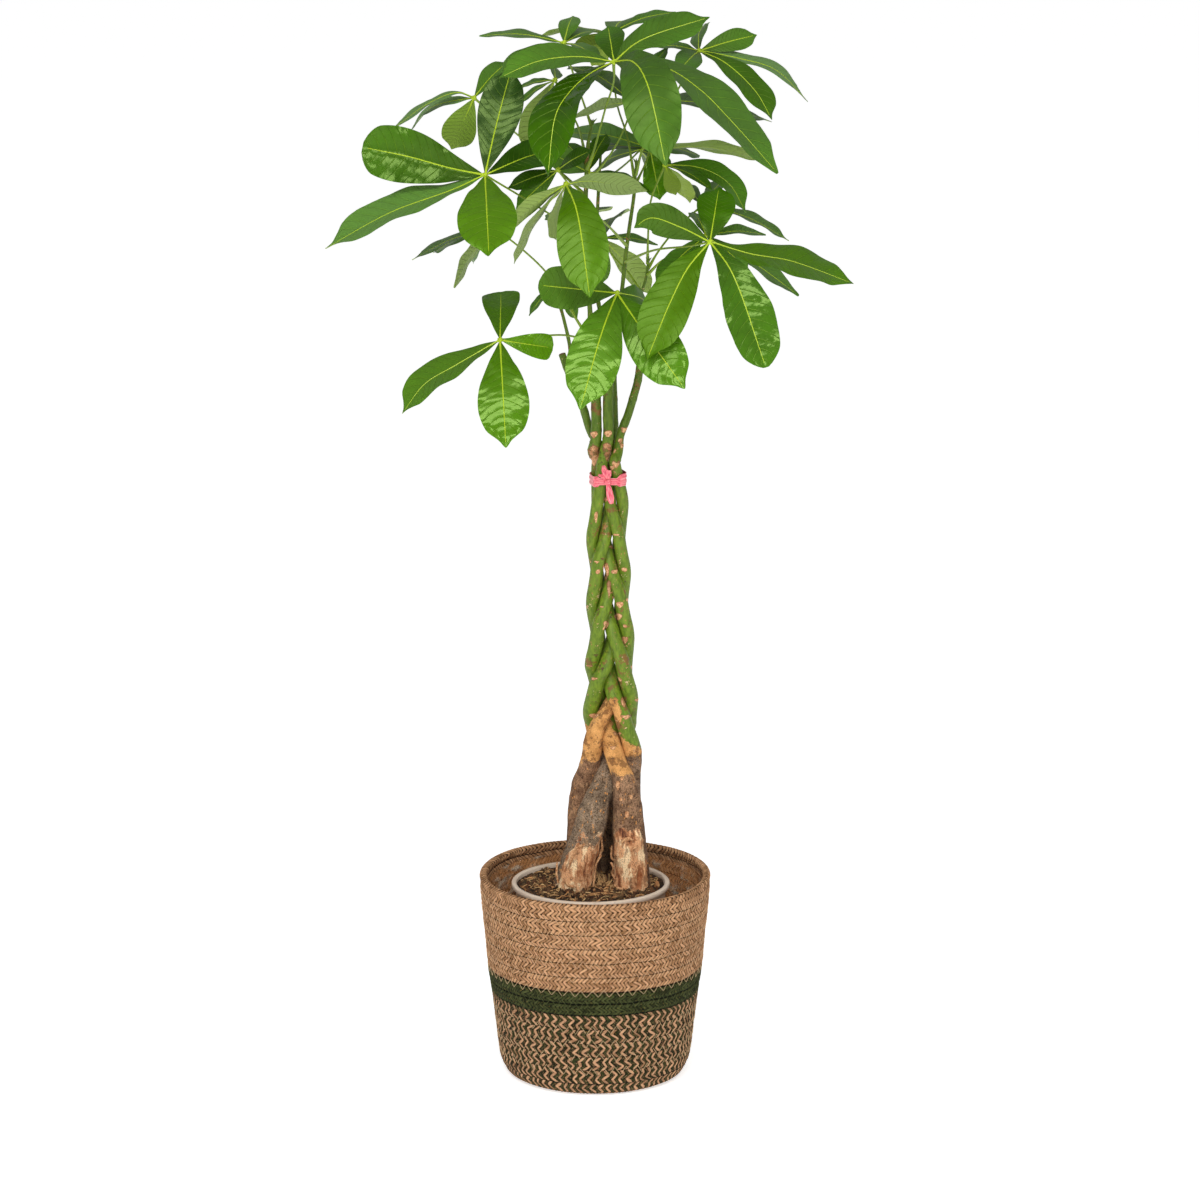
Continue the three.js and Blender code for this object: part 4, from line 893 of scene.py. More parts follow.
def bark_finish(name, grey):
    """Trunk skin.  Its tone holds: peeled wood, green bark, tan mark and ochre bark."""
    bark = Finish(name, Specular_IOR_Level=0.25)
    peeled, green, scar, ochre = bark.tone()
    place = bark.places()
    tall = bark.scaled(place, 1, 1, 0.3)
    dots = bark.scaled(place, 1, 1, 0.7)
    fine = bark.noise(place, 430.0, 4.0, 0.7)
    blotch = bark.noise(place, 75.0, 5.0, 0.65)
    streaks = bark.noise(tall, 300.0, 3.0, 0.6)
    specks = bark.noise(place, 900.0, 3.0, 0.75)
    ragged = blotch * 2.6 + fine * 1.8 - 2.2

    def edge(share, width=0.06, wild=1.0):
        return bark.ease(ragged * wild + share, 0.5 - width, 0.5 + width)

    brown = bark.mix(bark.ease(blotch, 0.3, 0.7), srgb(112, 78, 54), srgb(176, 130, 94))
    ashen = bark.mix(bark.ease(blotch, 0.3, 0.7), srgb(104, 88, 70), srgb(164, 144, 120))
    old = bark.mix(grey, brown, ashen)
    old = bark.stained(old, srgb(50, 34, 24), fine, 0.5, 0.62, 0.75)
    old = bark.stained(old, srgb(44, 30, 21), specks, 0.5, 0.6, 0.8)
    old = bark.stained(old, srgb(190, 148, 108), streaks, 0.54, 0.7, 0.45)
    fleck = bark.ease(bark.cells(dots, 250.0), 0.14, 0.26, 0.9, 0.0)
    fleck = fleck * bark.ease(bark.noise(place, 130.0), 0.46, 0.54)
    old = bark.mix(fleck, old, srgb(210, 144, 78))

    gold = bark.mix(bark.ease(blotch, 0.28, 0.6), srgb(168, 114, 60), srgb(222, 164, 98))
    gold = bark.stained(gold, srgb(118, 76, 40), specks, 0.55, 0.64, 0.6)
    gold = bark.stained(gold, srgb(122, 82, 48), bark.noise(place, 62.0, 5.0, 0.75), 0.53, 0.57, 0.8)

    leafy = bark.mix(bark.ease(streaks, 0.25, 0.75), srgb(78, 102, 20), srgb(114, 138, 36))
    leafy = bark.stained(leafy, srgb(70, 92, 24), blotch, 0.5, 0.72, 0.35)
    pores = bark.ease(bark.cells(dots, 240.0), 0.12, 0.22, 0.85, 0.0)
    pores = pores * bark.ease(bark.noise(place, 90.0), 0.44, 0.5)
    leafy = bark.mix(pores, leafy, srgb(158, 116, 62))
    metres_up = bark.parts("SeparateXYZ", place)[2]
    leafy = bark.stained(leafy, srgb(58, 84, 20), metres_up, 0.68, 0.71, 0.5)
    leafy = bark.stained(leafy, srgb(120, 80, 42), bark.noise(place, 40.0, 5.0, 0.8), 0.58, 0.62, 0.85)

    weathered = bark.noise(bark.scaled(place, 1, 1, 0.5), 70.0, 5.0, 0.7)
    wood = bark.mix(bark.ease(weathered, 0.35, 0.41), srgb(92, 54, 40), srgb(176, 116, 76))
    wood = bark.stained(wood, srgb(222, 166, 120), weathered, 0.42, 0.47)
    wood = bark.stained(wood, srgb(250, 218, 172), weathered, 0.52, 0.56)
    wood = bark.stained(wood, srgb(124, 76, 48), streaks, 0.5, 0.64, 0.65)
    wood = bark.stained(wood, srgb(164, 92, 50), bark.noise(tall, 48.0, 2.0), 0.57, 0.63, 0.75)
    wood = bark.stained(wood, srgb(78, 48, 34), specks, 0.55, 0.64, 0.75)

    mark = bark.mix(bark.ease(fine, 0.38, 0.6), srgb(226, 178, 130), srgb(166, 110, 72))
    is_green = edge(green)
    colour = bark.mix(edge(ochre), old, gold)
    colour = bark.mix(is_green, colour, leafy)
    colour = bark.mix(edge(peeled, 0.05), colour, wood)
    colour = bark.mix(edge(scar + 0.16, 0.1, 0.5), colour, srgb(112, 76, 44))
    colour = bark.mix(edge(scar, 0.08, 0.5), colour, mark)
    relief = (fine * 0.7 + streaks * 0.5 + weathered * peeled * 1.2) * (is_green * -0.85 + 1.0)
    normal = bark.bump(relief, 0.0022)
    return bark.finish(Base_Color=colour, Roughness=is_green * -0.42 + 0.9, Normal=normal)


def ribbon_finish():
    ribbon = Finish("pink_ribbon", Roughness=0.34, Specular_IOR_Level=0.45)
    along, across = ribbon.plan()
    folds_and_sheen = ribbon.noise(ribbon.joined(along * 1.2, across * 7.0), 1.0, 3.0)
    # Painted shade and highlight: the fold noise paints the hollows deep pink and the ridges pale pink,
    # as crease shade and satin sheen.
    colour = ribbon.mix(ribbon.ease(folds_and_sheen, 0.34, 0.56), srgb(206, 62, 92), srgb(238, 118, 128))
    colour = ribbon.stained(colour, srgb(244, 158, 160), folds_and_sheen, 0.54, 0.68)
    return ribbon.finish(Base_Color=colour, Normal=ribbon.bump(folds_and_sheen, 0.0006))


def vein_order(along, out):
    """Whole numbers on a leaflet's side veins, by its map's two parts."""
    return along * SIDE_VEINS - (out * VEIN_SLANT + out * out * VEIN_BEND)


# Each side of a leaf: dark, bright, yellowed, greyed and vein colours, how strong the veins are,
# how high they stand, how far gloss lowers the roughness, and the specular level.
TOP_SIDE = (srgb(10, 40, 2), srgb(58, 110, 0), srgb(94, 142, 0), srgb(118, 154, 90),
            srgb(140, 184, 24), 0.2, -0.35, -0.38, 0.45)
UNDERSIDE = (srgb(92, 122, 46), srgb(138, 160, 84), srgb(146, 172, 50), srgb(118, 136, 88),
             srgb(172, 188, 112), 0.4, 0.6, -0.1, 0.2)


def leaf_finish(name, side):
    """Leaf skin.  Its tone holds: light, yellow, grey and gloss."""
    dark, bright, yellowed, greyed, line, strength, rise, polish, specular = side
    leaf = Finish(name, Specular_IOR_Level=specular, Specular_Tint=(0.7, 1.0, 0.3, 1.0))
    light, yellow, grey, gloss = leaf.tone()
    along, across = leaf.plan()
    out = leaf.math("ABSOLUTE", across)
    vein = leaf.math("PINGPONG", vein_order(along, out), 0.5)
    cloud = leaf.noise(leaf.places(), 26.0, 3.0)
    cells = leaf.noise(leaf.places(), 420.0, 2.0)
    # Painted light: each leaflet is painted lighter toward its tip, where the drooping blade faces the
    # front lights.
    share = light + cloud * 0.7 + along * 0.45 - 0.55
    colour = leaf.mix(leaf.ease(share, 0.0, 1.0), dark, bright)
    colour = leaf.mix(yellow * 0.6, colour, yellowed)
    colour = leaf.mix(grey * 0.6, colour, greyed)
    colour = leaf.stained(colour, dark, cells, 0.4, 0.7, 0.1)
    thin = leaf.ease(vein, 0.0, 0.07, 1.0, 0.0)
    colour = leaf.mix(thin * leaf.ease(out, 0.3, 0.9, strength, 0.05 * strength), colour, line)
    # Painted shade: a dark band beside each side vein, in the valleys of the quilting.
    colour = leaf.mix(leaf.ease(vein, 0.06, 0.2, 0.07, 0.0), colour, dark)
    rough = gloss * polish + cells * 0.06 + 0.5
    normal = leaf.bump(thin * rise + cells * 0.03, 0.0009)
    return leaf.finish(Base_Color=colour, Roughness=rough, Normal=normal)


def stalk_finish():
    stalk = Finish("leaf_stalk", Specular_IOR_Level=0.45, Roughness=0.42)
    yellow = stalk.tone()[1]
    streak = stalk.noise(stalk.scaled(stalk.places(), 1, 1, 0.4), 260.0, 2.0)
    colour = stalk.mix(streak, srgb(62, 92, 22), srgb(112, 142, 38))
    colour = stalk.mix(yellow * 0.9, colour, srgb(176, 200, 34))
    return stalk.finish(Base_Color=colour, Normal=stalk.bump(streak, 0.0002))


# Strands: their darkest and lightest colours.
TAN = (srgb(110, 70, 38), srgb(218, 169, 126))
DULL_TAN = (srgb(108, 68, 36), srgb(208, 159, 116))
GREEN = (srgb(7, 11, 3), srgb(80, 86, 48))
DULL_GREEN = (srgb(7, 11, 3), srgb(76, 82, 44))
TWO_TONE_TAN = (srgb(112, 76, 48), srgb(216, 168, 128))
TWO_TONE_GREEN = (srgb(7, 11, 3), srgb(56, 62, 32))
# Each rope's last colour is the dark of its painted groove shade, also used for its dark hairs.
NATURAL_ROPE = rope_finish("natural_rope", TAN, DULL_TAN, srgb(16, 7, 3))
GREEN_ROPE = rope_finish("green_rope", GREEN, DULL_GREEN, srgb(0, 1, 0), gap=0.26)
TWO_TONE_ROPE = rope_finish("two_tone_rope", TWO_TONE_TAN, TWO_TONE_GREEN, srgb(12, 11, 5))
TAN_THREAD = thread_finish("tan_thread", srgb(214, 188, 146), srgb(176, 144, 104))
ROPE_THREAD = thread_finish("rope_thread", srgb(222, 186, 146), srgb(186, 148, 108))
GREEN_THREAD = thread_finish("green_thread", srgb(84, 90, 44), srgb(50, 58, 26))
CLEAR_FILM = film_finish()
GREY_PLASTIC = plastic_finish()
SOIL = soil_finish()
CRUMBS = crumb_finish()
PINK_RIBBON = ribbon_finish()
LEAF_TOP = leaf_finish("leaf_top", TOP_SIDE)
LEAF_UNDER = leaf_finish("leaf_underside", UNDERSIDE)
STALK = stalk_finish()
CUT_WOOD = grained_finish(
    "cut_wood", srgb(78, 54, 38), srgb(146, 110, 78), 500.0, 3.0, 0.0006, Roughness=0.9)


# ---------------------------------------------------------------- basket

def wall_radius(z):
    return np.interp(z, WALL_HEIGHTS, WALL_RADII)


def plait(turn, row):
    """How high the plaited strands stand at a place of the rope's map, 0 in a groove to 1."""
    phase = turn + ROW_SLIP * np.floor(row) + LEG_SLANT * pingpong(row * LEGS, 1.0)
    across = pingpong(2 * phase, 0.5) * 2
    joint = pingpong(row * LEGS, 0.5) * 2
    return np.sqrt(np.clip(across, 0, 1)) * (0.55 + 0.45 * np.sqrt(np.clip(joint, 0, 1)))


def raised(points):
    """Points of the basket, its back rim standing a little higher than its front."""
    back = smooth((points[..., 1] / RIM_RADIUS + 0.8) / 1.6)
    share = back * smooth((points[..., 2] - 150) / 60)
    return points + (RIM_RISE * share)[..., None] * UP


def rope_piece(node, stations, material, slot):
    """Sewn rope from stations: radius, height, row, outward way and how far the row swells."""
    columns = 2 * STRAND_PAIRS * STRAND_SAMPLES
    turn = np.arange(columns + 1) / columns * STRAND_PAIRS
    angle = turn / STRAND_PAIRS * 2 * math.pi
    radius, height, row, outward, swell = (np.array(part, float) for part in zip(*stations))
    radius, height, row, swell = (part[:, None] for part in (radius, height, row, swell))
    spread = around(5, angle, 0.8 * row)
    turn = turn + 0.36 * lumps(spread, 0.55, 1)
    row = row + 0.06 * lumps(spread, 1.1, 2)
    angle = angle[:-1]
    level = plait(turn[:, :-1], row[:, :-1]) - 1
    ridge = pingpong(row[:, :-1], 0.5)
    ridge = 4 * ridge * (1 - ridge)
    rough = around(radius, angle, height)
    uneven = 0.45 * lumps(rough, 26, 3) + 0.22 * lumps(rough, 7, 4)
    lift = STRAND_RELIEF * level + swell * (ROW_RELIEF * ridge + uneven - 0.3)
    points = around(radius + lift * outward[:, :1], angle, height + lift * outward[:, 1:])
    uv = np.stack(np.broadcast_arrays(turn, row), axis=-1)
    skin = Skin()
    skin.grid(raised(points), np.concatenate((uv, uv[:1])), loop=True)
    skin.build("look_" + node, [material], slot, node, sharp=70)


def wall_stations(bottom, top, rows, first_row):
    """Outside stations of a sewn wall from the bottom up."""
    share = np.linspace(0, 1, rows * LEGS * LEG_SAMPLES + 1)
    height = bottom + (top - bottom) * share
    return [(wall_radius(z), z, first_row + rows * s, (1, 0), 1) for z, s in zip(height, share)]


def inside_stations(bottom, top, rows, first_row):
    """Inside stations from the top down; their grooves sink into the wall."""
    share = np.linspace(1, 0, rows * LEGS * (LEG_SAMPLES - 1) + 1)
    height = bottom + (top - bottom) * share
    radius = wall_radius(height) - ROPE_WALL
    return [(r, z, first_row + rows * s, (-1, 0), 0) for r, z, s in zip(radius, height, share)]


def rim_stations(first_row, pitch):
    """The last row, rolled over the top edge from outside to inside."""
    middle, level = RIM_RADIUS - ROLL_RADIUS, BASKET_HEIGHT - ROLL_RADIUS
    stations = []
    for z in np.linspace(RIM_SEAM + 0.8, level, LEGS * LEG_SAMPLES):
        stations.append((wall_radius(z), z, first_row + (z - RIM_SEAM) / pitch, (1, 0), 0.8))
    last = stations[-1][2]
    for turn in range(ROLL_STEP, ROLL_TURN + 1, ROLL_STEP):
        way = (math.cos(math.radians(turn)), math.sin(math.radians(turn)))
        place = (middle + ROLL_RADIUS * way[0], level + ROLL_RADIUS * way[1])
        row = last - 0.9 * turn / ROLL_TURN * (last - first_row)
        stations.append((*place, row, way, 0.3))
    return stations


def basket():
    band_bottom, band_top = BAND_BOTTOM + SEAM_RISE, BAND_TOP + SEAM_RISE
    span = (CORNER_HEIGHT, band_bottom - RING_GAP, TWO_TONE_ROWS, 0)
    lower = wall_stations(*span) + inside_stations(*span)
    rope_piece("basket_lower_wall", lower, TWO_TONE_ROPE, "two_tone_rope")
    span = (band_bottom, band_top, GREEN_ROWS, TWO_TONE_ROWS)
    band = wall_stations(*span) + inside_stations(*span)
    rope_piece("basket_green_band", band, GREEN_ROPE, "green_rope")
    first = TWO_TONE_ROWS + GREEN_ROWS
    pitch = (RIM_SEAM - band_top) / NATURAL_ROWS
    upper = wall_stations(band_top + RING_GAP, RIM_SEAM, NATURAL_ROWS, first)
    upper += rim_stations(first + NATURAL_ROWS, pitch)
    inside_top = BASKET_HEIGHT - 2 * ROLL_RADIUS
    upper += inside_stations(band_top + RING_GAP, inside_top, NATURAL_ROWS, first)
    rope_piece("basket_upper_wall", upper, NATURAL_ROPE, "natural_rope")
    basket_floor((band_bottom - CORNER_HEIGHT) / TWO_TONE_ROWS)
    basket_thread(band_bottom, band_top, pitch)


def basket_floor(pitch):
    """Floor of flat rope rings, with the rounded corner that meets the wall."""
    top = CORNER_HEIGHT - RING_GAP
    stations = []
    for z in np.linspace(top, CORNER_BEND, 10):
        slope = 0.35 + 0.5 * (CORNER_HEIGHT - z) / CORNER_HEIGHT
        way = unit(np.array((1, -slope)))
        stations.append((wall_radius(z), z, (z - CORNER_HEIGHT) / pitch, way, 0.6))
    edge = stations[-1][2]

    def flat(radius, z, way):
        stations.append((radius, z, edge - (CORNER_RADIUS - radius) / pitch, way, 0))

    for radius in (92.5, 89.5, FLOOR_RADIUS):
        z = np.interp(radius, (FLOOR_RADIUS, CORNER_RADIUS), (0, CORNER_BEND))
        flat(radius, z, (0.3, -0.95))
    for radius in np.linspace(84.5, 3, 34):
        flat(radius, 0, (0, -0.55))
    for radius in (3, 30, 60, 80, FLOOR_RADIUS):
        flat(radius, FLOOR_THICKNESS - 0.1, (0, 0.1))
    stations.append((wall_radius(top) - ROPE_WALL, top, 0, (0, 0.1), 0))
    rope_piece("basket_base", stations, TWO_TONE_ROPE, "two_tone_rope")


def seam_thread(skin, height, rng, reach_up=THREAD_REACH):
    """One zigzag of sewing thread laid over the seam at a height."""
    count = round(2 * math.pi * wall_radius(height) / THREAD_PITCH)
    start = rng.random()
    knots = []
    for k in range(2 * count):
        turn = (k / 2 + start + rng.uniform(-0.06, 0.06)) / count * 2 * math.pi
        reach = (-THREAD_REACH if k % 2 else reach_up) * rng.uniform(0.85, 1.1)
        knots.append((turn, height + reach))
    knots.append((knots[0][0] + 2 * math.pi, knots[0][1]))
    knots = np.array(knots)
    share = np.tile((0, 0.25, 0.5, 0.75), 2 * count)
    near, far = np.repeat(knots[:-1], 4, axis=0), np.repeat(knots[1:], 4, axis=0)
    turn, z = (near + (far - near) * share[:, None]).T
    tucked = np.where(share == 0, 0.5, 0)
    proud = THREAD_LIFT + 0.4 * np.abs(np.sin(math.pi * (z - height) / 15))
    radius = wall_radius(z) + proud - tucked
    centres, outward = around(radius, turn, z), around(1, turn, 0)
    ahead = unit(np.roll(centres, -1, axis=0) - np.roll(centres, 1, axis=0))
    across = unit(np.cross(ahead, outward))
    rings = [centres + THREAD_RADIUS * (math.cos(a) * outward + math.sin(a) * across)
             for a in whole_turn(4)]
    skin.grid(raised(np.stack(rings, axis=1)), loop=True)


def basket_thread(band_bottom, band_top, pitch):
    rng = Random(11)
    tan, natural, green = Skin(), Skin(), Skin()
    for row in range(1, TWO_TONE_ROWS):
        height = CORNER_HEIGHT + row * (band_bottom - CORNER_HEIGHT) / TWO_TONE_ROWS
        seam_thread(tan, height, rng)
    seam_thread(tan, band_top, rng, THREAD_REACH * 0.7)
    for height in (band_bottom, (band_bottom + band_top) / 2):
        seam_thread(green, height, rng)
    for row in range(1, NATURAL_ROWS + 1):
        seam_thread(natural, band_top + row * pitch, rng)
    tan.build("look_thread_tan", [TAN_THREAD], "natural_rope")
    natural.build("look_thread_natural", [ROPE_THREAD], "natural_rope")
    green.build("look_thread_green", [GREEN_THREAD], "green_rope")


# ---------------------------------------------------------------- liner, pot and soil

def liner():
    profile = [(radius, LINER_FLOOR) for radius in (2, 30, 60, 84)]
    for z in np.linspace(LINER_CORNER, LINER_TOP, 40):
        profile.append((wall_radius(z) - ROPE_WALL - LINER_GAP, z))
    rings = turned(profile, LINER_COLUMNS)
    way, height = unit(rings * (1, 1, 0)), rings[..., 2]
    crease = 0.7 * lumps(rings * (1, 1, 0.5), 16, 8) + 0.5 * lumps(rings, 6, 9) - 0.9
    crease = crease * smooth((height - CREASE_START) / CREASE_RISE)
    outer = rings + way * np.minimum(crease, 0)[..., None]
    on_wall = np.where(height < LINER_CORNER, 0, 1)[..., None]
    inner = outer - on_wall * way * FILM * 0.5 + (1 - on_wall) * 0.5 * UP
    skin = Skin()
    skin.grid(raised(np.concatenate((outer, inner[::-1]))))
    skin.build("look_liner", [CLEAR_FILM], "clear_film", "liner")


def pot_inside(z):
    ends = (POT_FOOT_RADIUS, POT_RIM_RADIUS - POT_LIP_WIDTH)
    return np.interp(z, (POT_FLOOR, POT_TOP), ends) - POT_WALL


def nursery_pot():
    """A turned pot with a lip, its drain holes cut through the floor."""
    foot, rim, mouth = POT_FOOT_RADIUS, POT_RIM_RADIUS, pot_inside(POT_TOP)
    lip, inner = POT_TOP - POT_LIP_HEIGHT, POT_FLOOR + POT_WALL
    outside = [(pot_inside(z) + POT_WALL, z) for z in (*POT_RINGS, lip - 1.5)]
    inside = [(pot_inside(z), z) for z in (POT_TOP - 3, *POT_RINGS[::-1], inner + 1)]
    profile = [
        (0.5, POT_FLOOR), (40, POT_FLOOR), (foot - 1, POT_FLOOR), (foot, POT_FLOOR + 1), *outside,
        (rim - 2, lip - 0.8), (rim - 0.5, lip), (rim, lip + POT_ROUNDING),
        (rim, POT_TOP - POT_ROUNDING), (rim - POT_ROUNDING, POT_TOP),
        (mouth + 0.8, POT_TOP), (mouth, POT_TOP - 0.8), *inside,
        (pot_inside(inner) - 1, inner), (40, inner), (0.5, inner),
    ]
    skin = Skin()
    skin.grid(turned(profile, POT_COLUMNS, POT_X))
    pot = skin.build("look_nursery_pot", [GREY_PLASTIC], "grey_plastic", "nursery_pot", sharp=60)
    cutters = Skin()
    ends = [(DRAIN_RADIUS, POT_FLOOR - 3), (DRAIN_RADIUS, inner + 3)]
    for turn in whole_turn(DRAIN_HOLES):
        cutters.grid(turned(ends, DRAIN_COLUMNS, POT_X) + around(DRAIN_CIRCLE, turn, 0))
    cutter = cutters.build("drain_cutter", [GREY_PLASTIC], "grey_plastic")
    cut = pot.modifiers.new("drain", "BOOLEAN")
    cut.operation, cut.solver, cut.object = "DIFFERENCE", "EXACT", cutter
    graph = bpy.context.evaluated_depsgraph_get()
    holed = bpy.data.meshes.new_from_object(pot.evaluated_get(graph))
    pot.modifiers.clear()
    plain, pot.data = pot.data, holed
    bpy.data.meshes.remove(plain)
    bpy.data.objects.remove(cutter)


def soil_height(points):
    """Height of the rough soil surface at points given from the basket's axis."""
    reach = np.hypot(points[..., 0] - POT_X, points[..., 1])
    mound = SOIL_TOP + SOIL_MOUND * smooth((pot_inside(SOIL_TOP) - reach) / 20)
    flat = points * (1, 1, 0)
    rough = 1.3 * lumps(flat, 13, 21) + 0.9 * lumps(flat, 5, 22) + 0.4 * lumps(flat, 2.4, 23)
    return mound - 0.6 + rough


def soil():
    bottom = POT_FLOOR + POT_WALL + SOIL_GAP
    side = [(2, bottom)]
    side += [(pot_inside(z) - 2 * SOIL_GAP, z) for z in (bottom, 60, 120, 170, 200)]
    across = np.linspace(pot_inside(SOIL_TOP) - SOIL_GAP, 0.8, SOIL_RINGS)
    rings = turned(side + [(radius, SOIL_TOP) for radius in across], SOIL_COLUMNS, POT_X)
    surface = rings[len(side):]
    surface[..., 2] = soil_height(surface)
    skin = Skin()
    skin.grid(rings)
    skin.build("look_soil", [SOIL], "potting_soil", "soil")


def crumb_shape():
    """A small round lump: unit directions on a coarse globe of rings."""
    levels = np.array((-0.9, -0.45, 0.1, 0.6, 0.93))[:, None]
    return around(np.sqrt(1 - levels * levels), whole_turn(6) + levels, levels)


def spin(rng):
    """A random turning matrix."""
    spun = np.eye(3)
    for first, second in ((1, 2), (2, 0), (0, 1)):
        angle = rng.uniform(0, 2 * math.pi)
        turn = np.eye(3)
        turn[first, first] = turn[second, second] = math.cos(angle)
        turn[second, first], turn[first, second] = math.sin(angle), -math.sin(angle)
        spun = turn @ spun
    return spun


def scatter(rng, margin=3.0):
    """A random place on the soil's surface."""
    reach = (pot_inside(SOIL_TOP) - margin) * math.sqrt(rng.random())
    place = around(reach, rng.uniform(0, 2 * math.pi), 0.0) + (POT_X, 0, 0)
    place[2] = soil_height(place[None])[0]
    return place


def soil_litter():
    """Bark crumbs and pale fibres lying on the soil, and fibres that stand up at the trunks."""
    rng = Random(5)
    ball = crumb_shape()
    skin = Skin()
    for _ in range(CRUMB_COUNT):
        size = rng.uniform(0.8, 2.6) * (1 if rng.random() < 0.9 else 1.6)
        sides = [size * rng.uniform(*ends) for ends in ((0.9, 1.7), (0.6, 1.0), (0.4, 0.8))]
        shape = ball * sides
        shape = shape * (1 + 0.3 * lumps(shape, 1.3, rng.randint(0, 99))[..., None])
        place = scatter(rng) + (0, 0, size * 0.25)
        light = rng.choice((0, 0, 0.02, 0.03, 0.05, 0.07, 0.12, 0.2, 0.5))
        skin.grid(shape @ spin(rng).T + place, tone=(light, rng.random(), 0, 0))
    for _ in range(FIBRE_COUNT):
        start = scatter(rng, 6)
        turn = rng.uniform(0, 2 * math.pi)
        length = rng.uniform(4, 15)
        way = around(1, turn, 0)
        side = np.array((-way[1], way[0], 0)) * rng.uniform(-0.25, 0.25)
        middle = start + (way / 2 + side) * length + (0, 0, rng.uniform(0.6, 2.5))
        end = start + way * length
        if math.hypot(end[0] - POT_X, end[1]) > pot_inside(SOIL_TOP) - 2:
            continue
        end[2] = soil_height(end[None])[0] + rng.uniform(0, 1.5)
        girths = rng.uniform(0.25, 0.7) * np.array((0.4, 1, 1, 0.9, 0.3))
        tone = (rng.uniform(0.4, 1.2), rng.random(), 0, 0)
        skin.tube(Curve((start, middle, end)), girths, 4, tone=tone)
    for _ in range(UPRIGHT_COUNT):
        start = np.array((rng.uniform(-8, 18), rng.uniform(-16, 6), 0.0))
        start[2] = soil_height(start[None])[0] - 1
        lean = np.array((rng.uniform(-7, 7), rng.uniform(-5, 3), rng.uniform(4, 17)))
        bow = np.array((rng.uniform(-3, 3), -1.5, 1.0))
        girths = rng.uniform(0.3, 0.75) * np.array((1, 1, 0.8, 0.3))
        tone = (rng.uniform(0.6, 1.1), rng.uniform(0, 0.5), 0, 0)
        skin.tube(Curve((start, start + lean * 0.5 + bow, start + lean)), girths, 4, tone=tone)
    skin.build("look_soil_litter", [CRUMBS], "potting_soil")


# ---------------------------------------------------------------- trunks

def girth_at(trunk, z):
    rise = np.asarray(z, float) - SOIL_TOP
    share = trunk["girth"] + (1 - trunk["girth"]) * smooth(rise / EVEN_GIRTH_HEIGHT)
    return np.interp(rise, GIRTH_RISES, GIRTHS) * share


def guide(trunk, index, z):
    """Where a trunk would run if the others left it room."""
    risen = np.minimum(z, BRAID_END) - FIRST_CROSSING - index * CROSSING_STEP
    turn = np.maximum(risen / (5 * CROSSING_STEP), trunk["start"])
    phase = math.pi * (turn + index)
    girth = np.minimum(girth_at(trunk, z), BRAID_GIRTH)
    braid_x = np.interp(z, AXIS_HEIGHTS, AXIS_X) + BRAID_SWING * girth * np.sin(phase)
    braid_y = BRAID_DEPTH * girth * np.sin(2 * phase)
    joined = smooth((z - SOIL_TOP) / (FIRST_JOIN + JOIN_STEP * index))
    x = trunk["base"][0] + (braid_x - trunk["base"][0]) * joined
    y = trunk["base"][1] + (braid_y - trunk["base"][1]) * joined
    return np.stack((x, y, z), axis=-1)


def push_apart(middles, radii):
    for i, j in itertools.combinations(range(len(TRUNKS)), 2):
        apart = middles[:, j] - middles[:, i]
        distance = np.linalg.norm(apart, axis=1)
        short = np.maximum(radii[:, i] + radii[:, j] + TRUNK_CLEARANCE - distance, 0)
        move = apart * (short / (2 * distance))[:, None]
        middles[:, i] -= move
        middles[:, j] += move


def braid_slices():
    """Heights, radii and middles of all trunks, settled as the solids are."""
    lowest = SOIL_TOP - ROOT_DEPTH
    base_steps = round((BRAID_START - lowest) / BASE_STEP)
    braid_steps = round((BRAID_TOP - BRAID_START) / BRAID_STEP)
    heights = np.concatenate((
        np.linspace(lowest, BRAID_START, base_steps + 1)[:-1],
        np.linspace(BRAID_START, BRAID_TOP, braid_steps + 1),
    ))
    radii = np.stack([girth_at(trunk, heights) for trunk in TRUNKS], axis=1)
    middles = np.stack([guide(trunk, k, heights) for k, trunk in enumerate(TRUNKS)], axis=1)
    for rounds in range(SETTLING_ROUNDS):
        if rounds % 4 == 0 and rounds < EVENING_ROUNDS:
            between = (middles[:-2] + middles[2:]) / 2
            between[..., 2] = middles[1:-1, :, 2]
            middles[1:-1] += EVENING * (between - middles[1:-1])
        push_apart(middles, radii)
    return heights, radii, middles


SLICE_HEIGHTS, SLICE_RADII, SLICE_MIDDLES = braid_slices()


def bark_relief(points, tone):
    """Relief of the trunk's skin, with its peeled foot sunk under the torn bark."""
    peeled, green, scar = tone[..., 0], tone[..., 1], tone[..., 2]
    tall = points * (1, 1, 0.3)
    old = 0.6 * lumps(tall, 5, 31) + 0.5 * lumps(points, 14, 32) + 0.35 * lumps(tall, 2.4, 33)
    sunk = -1.5 + 1.2 * lumps(tall, 4.5, 34) + 1.0 * lumps(points, 9, 35)
    sunk = sunk + 0.7 * lumps(points * (1, 1, 0.5), 2.2, 36)
    return np.clip((1 - green) * old + peeled * sunk, -3.4, 1.3) + 0.3 * scar


def faces_eye(points, outward):
    return np.sum(outward * (EYE - points), axis=-1) > 0


def turned_from(turn, centre):
    """The angle from a centre to a turn, half a circle either way at most."""
    return (turn - centre + math.pi) % (2 * math.pi) - math.pi


def front_marks(points, outward):
    """How solid the tan marks are at points of the trunks' front."""
    across, down = seen(points)
    solid = np.zeros(across.shape)
    for px, py, half_width, half_height, strength in MARKS:
        drop = (down - py) / half_height
        side = (across - px) / (half_width * (0.8 - 0.5 * np.clip(drop, -1, 1)))
        reach = np.hypot(drop, side)
        solid = np.maximum(solid, strength * (1 - smooth((reach - 0.75) / 0.5)))
    return solid * faces_eye(points, outward)


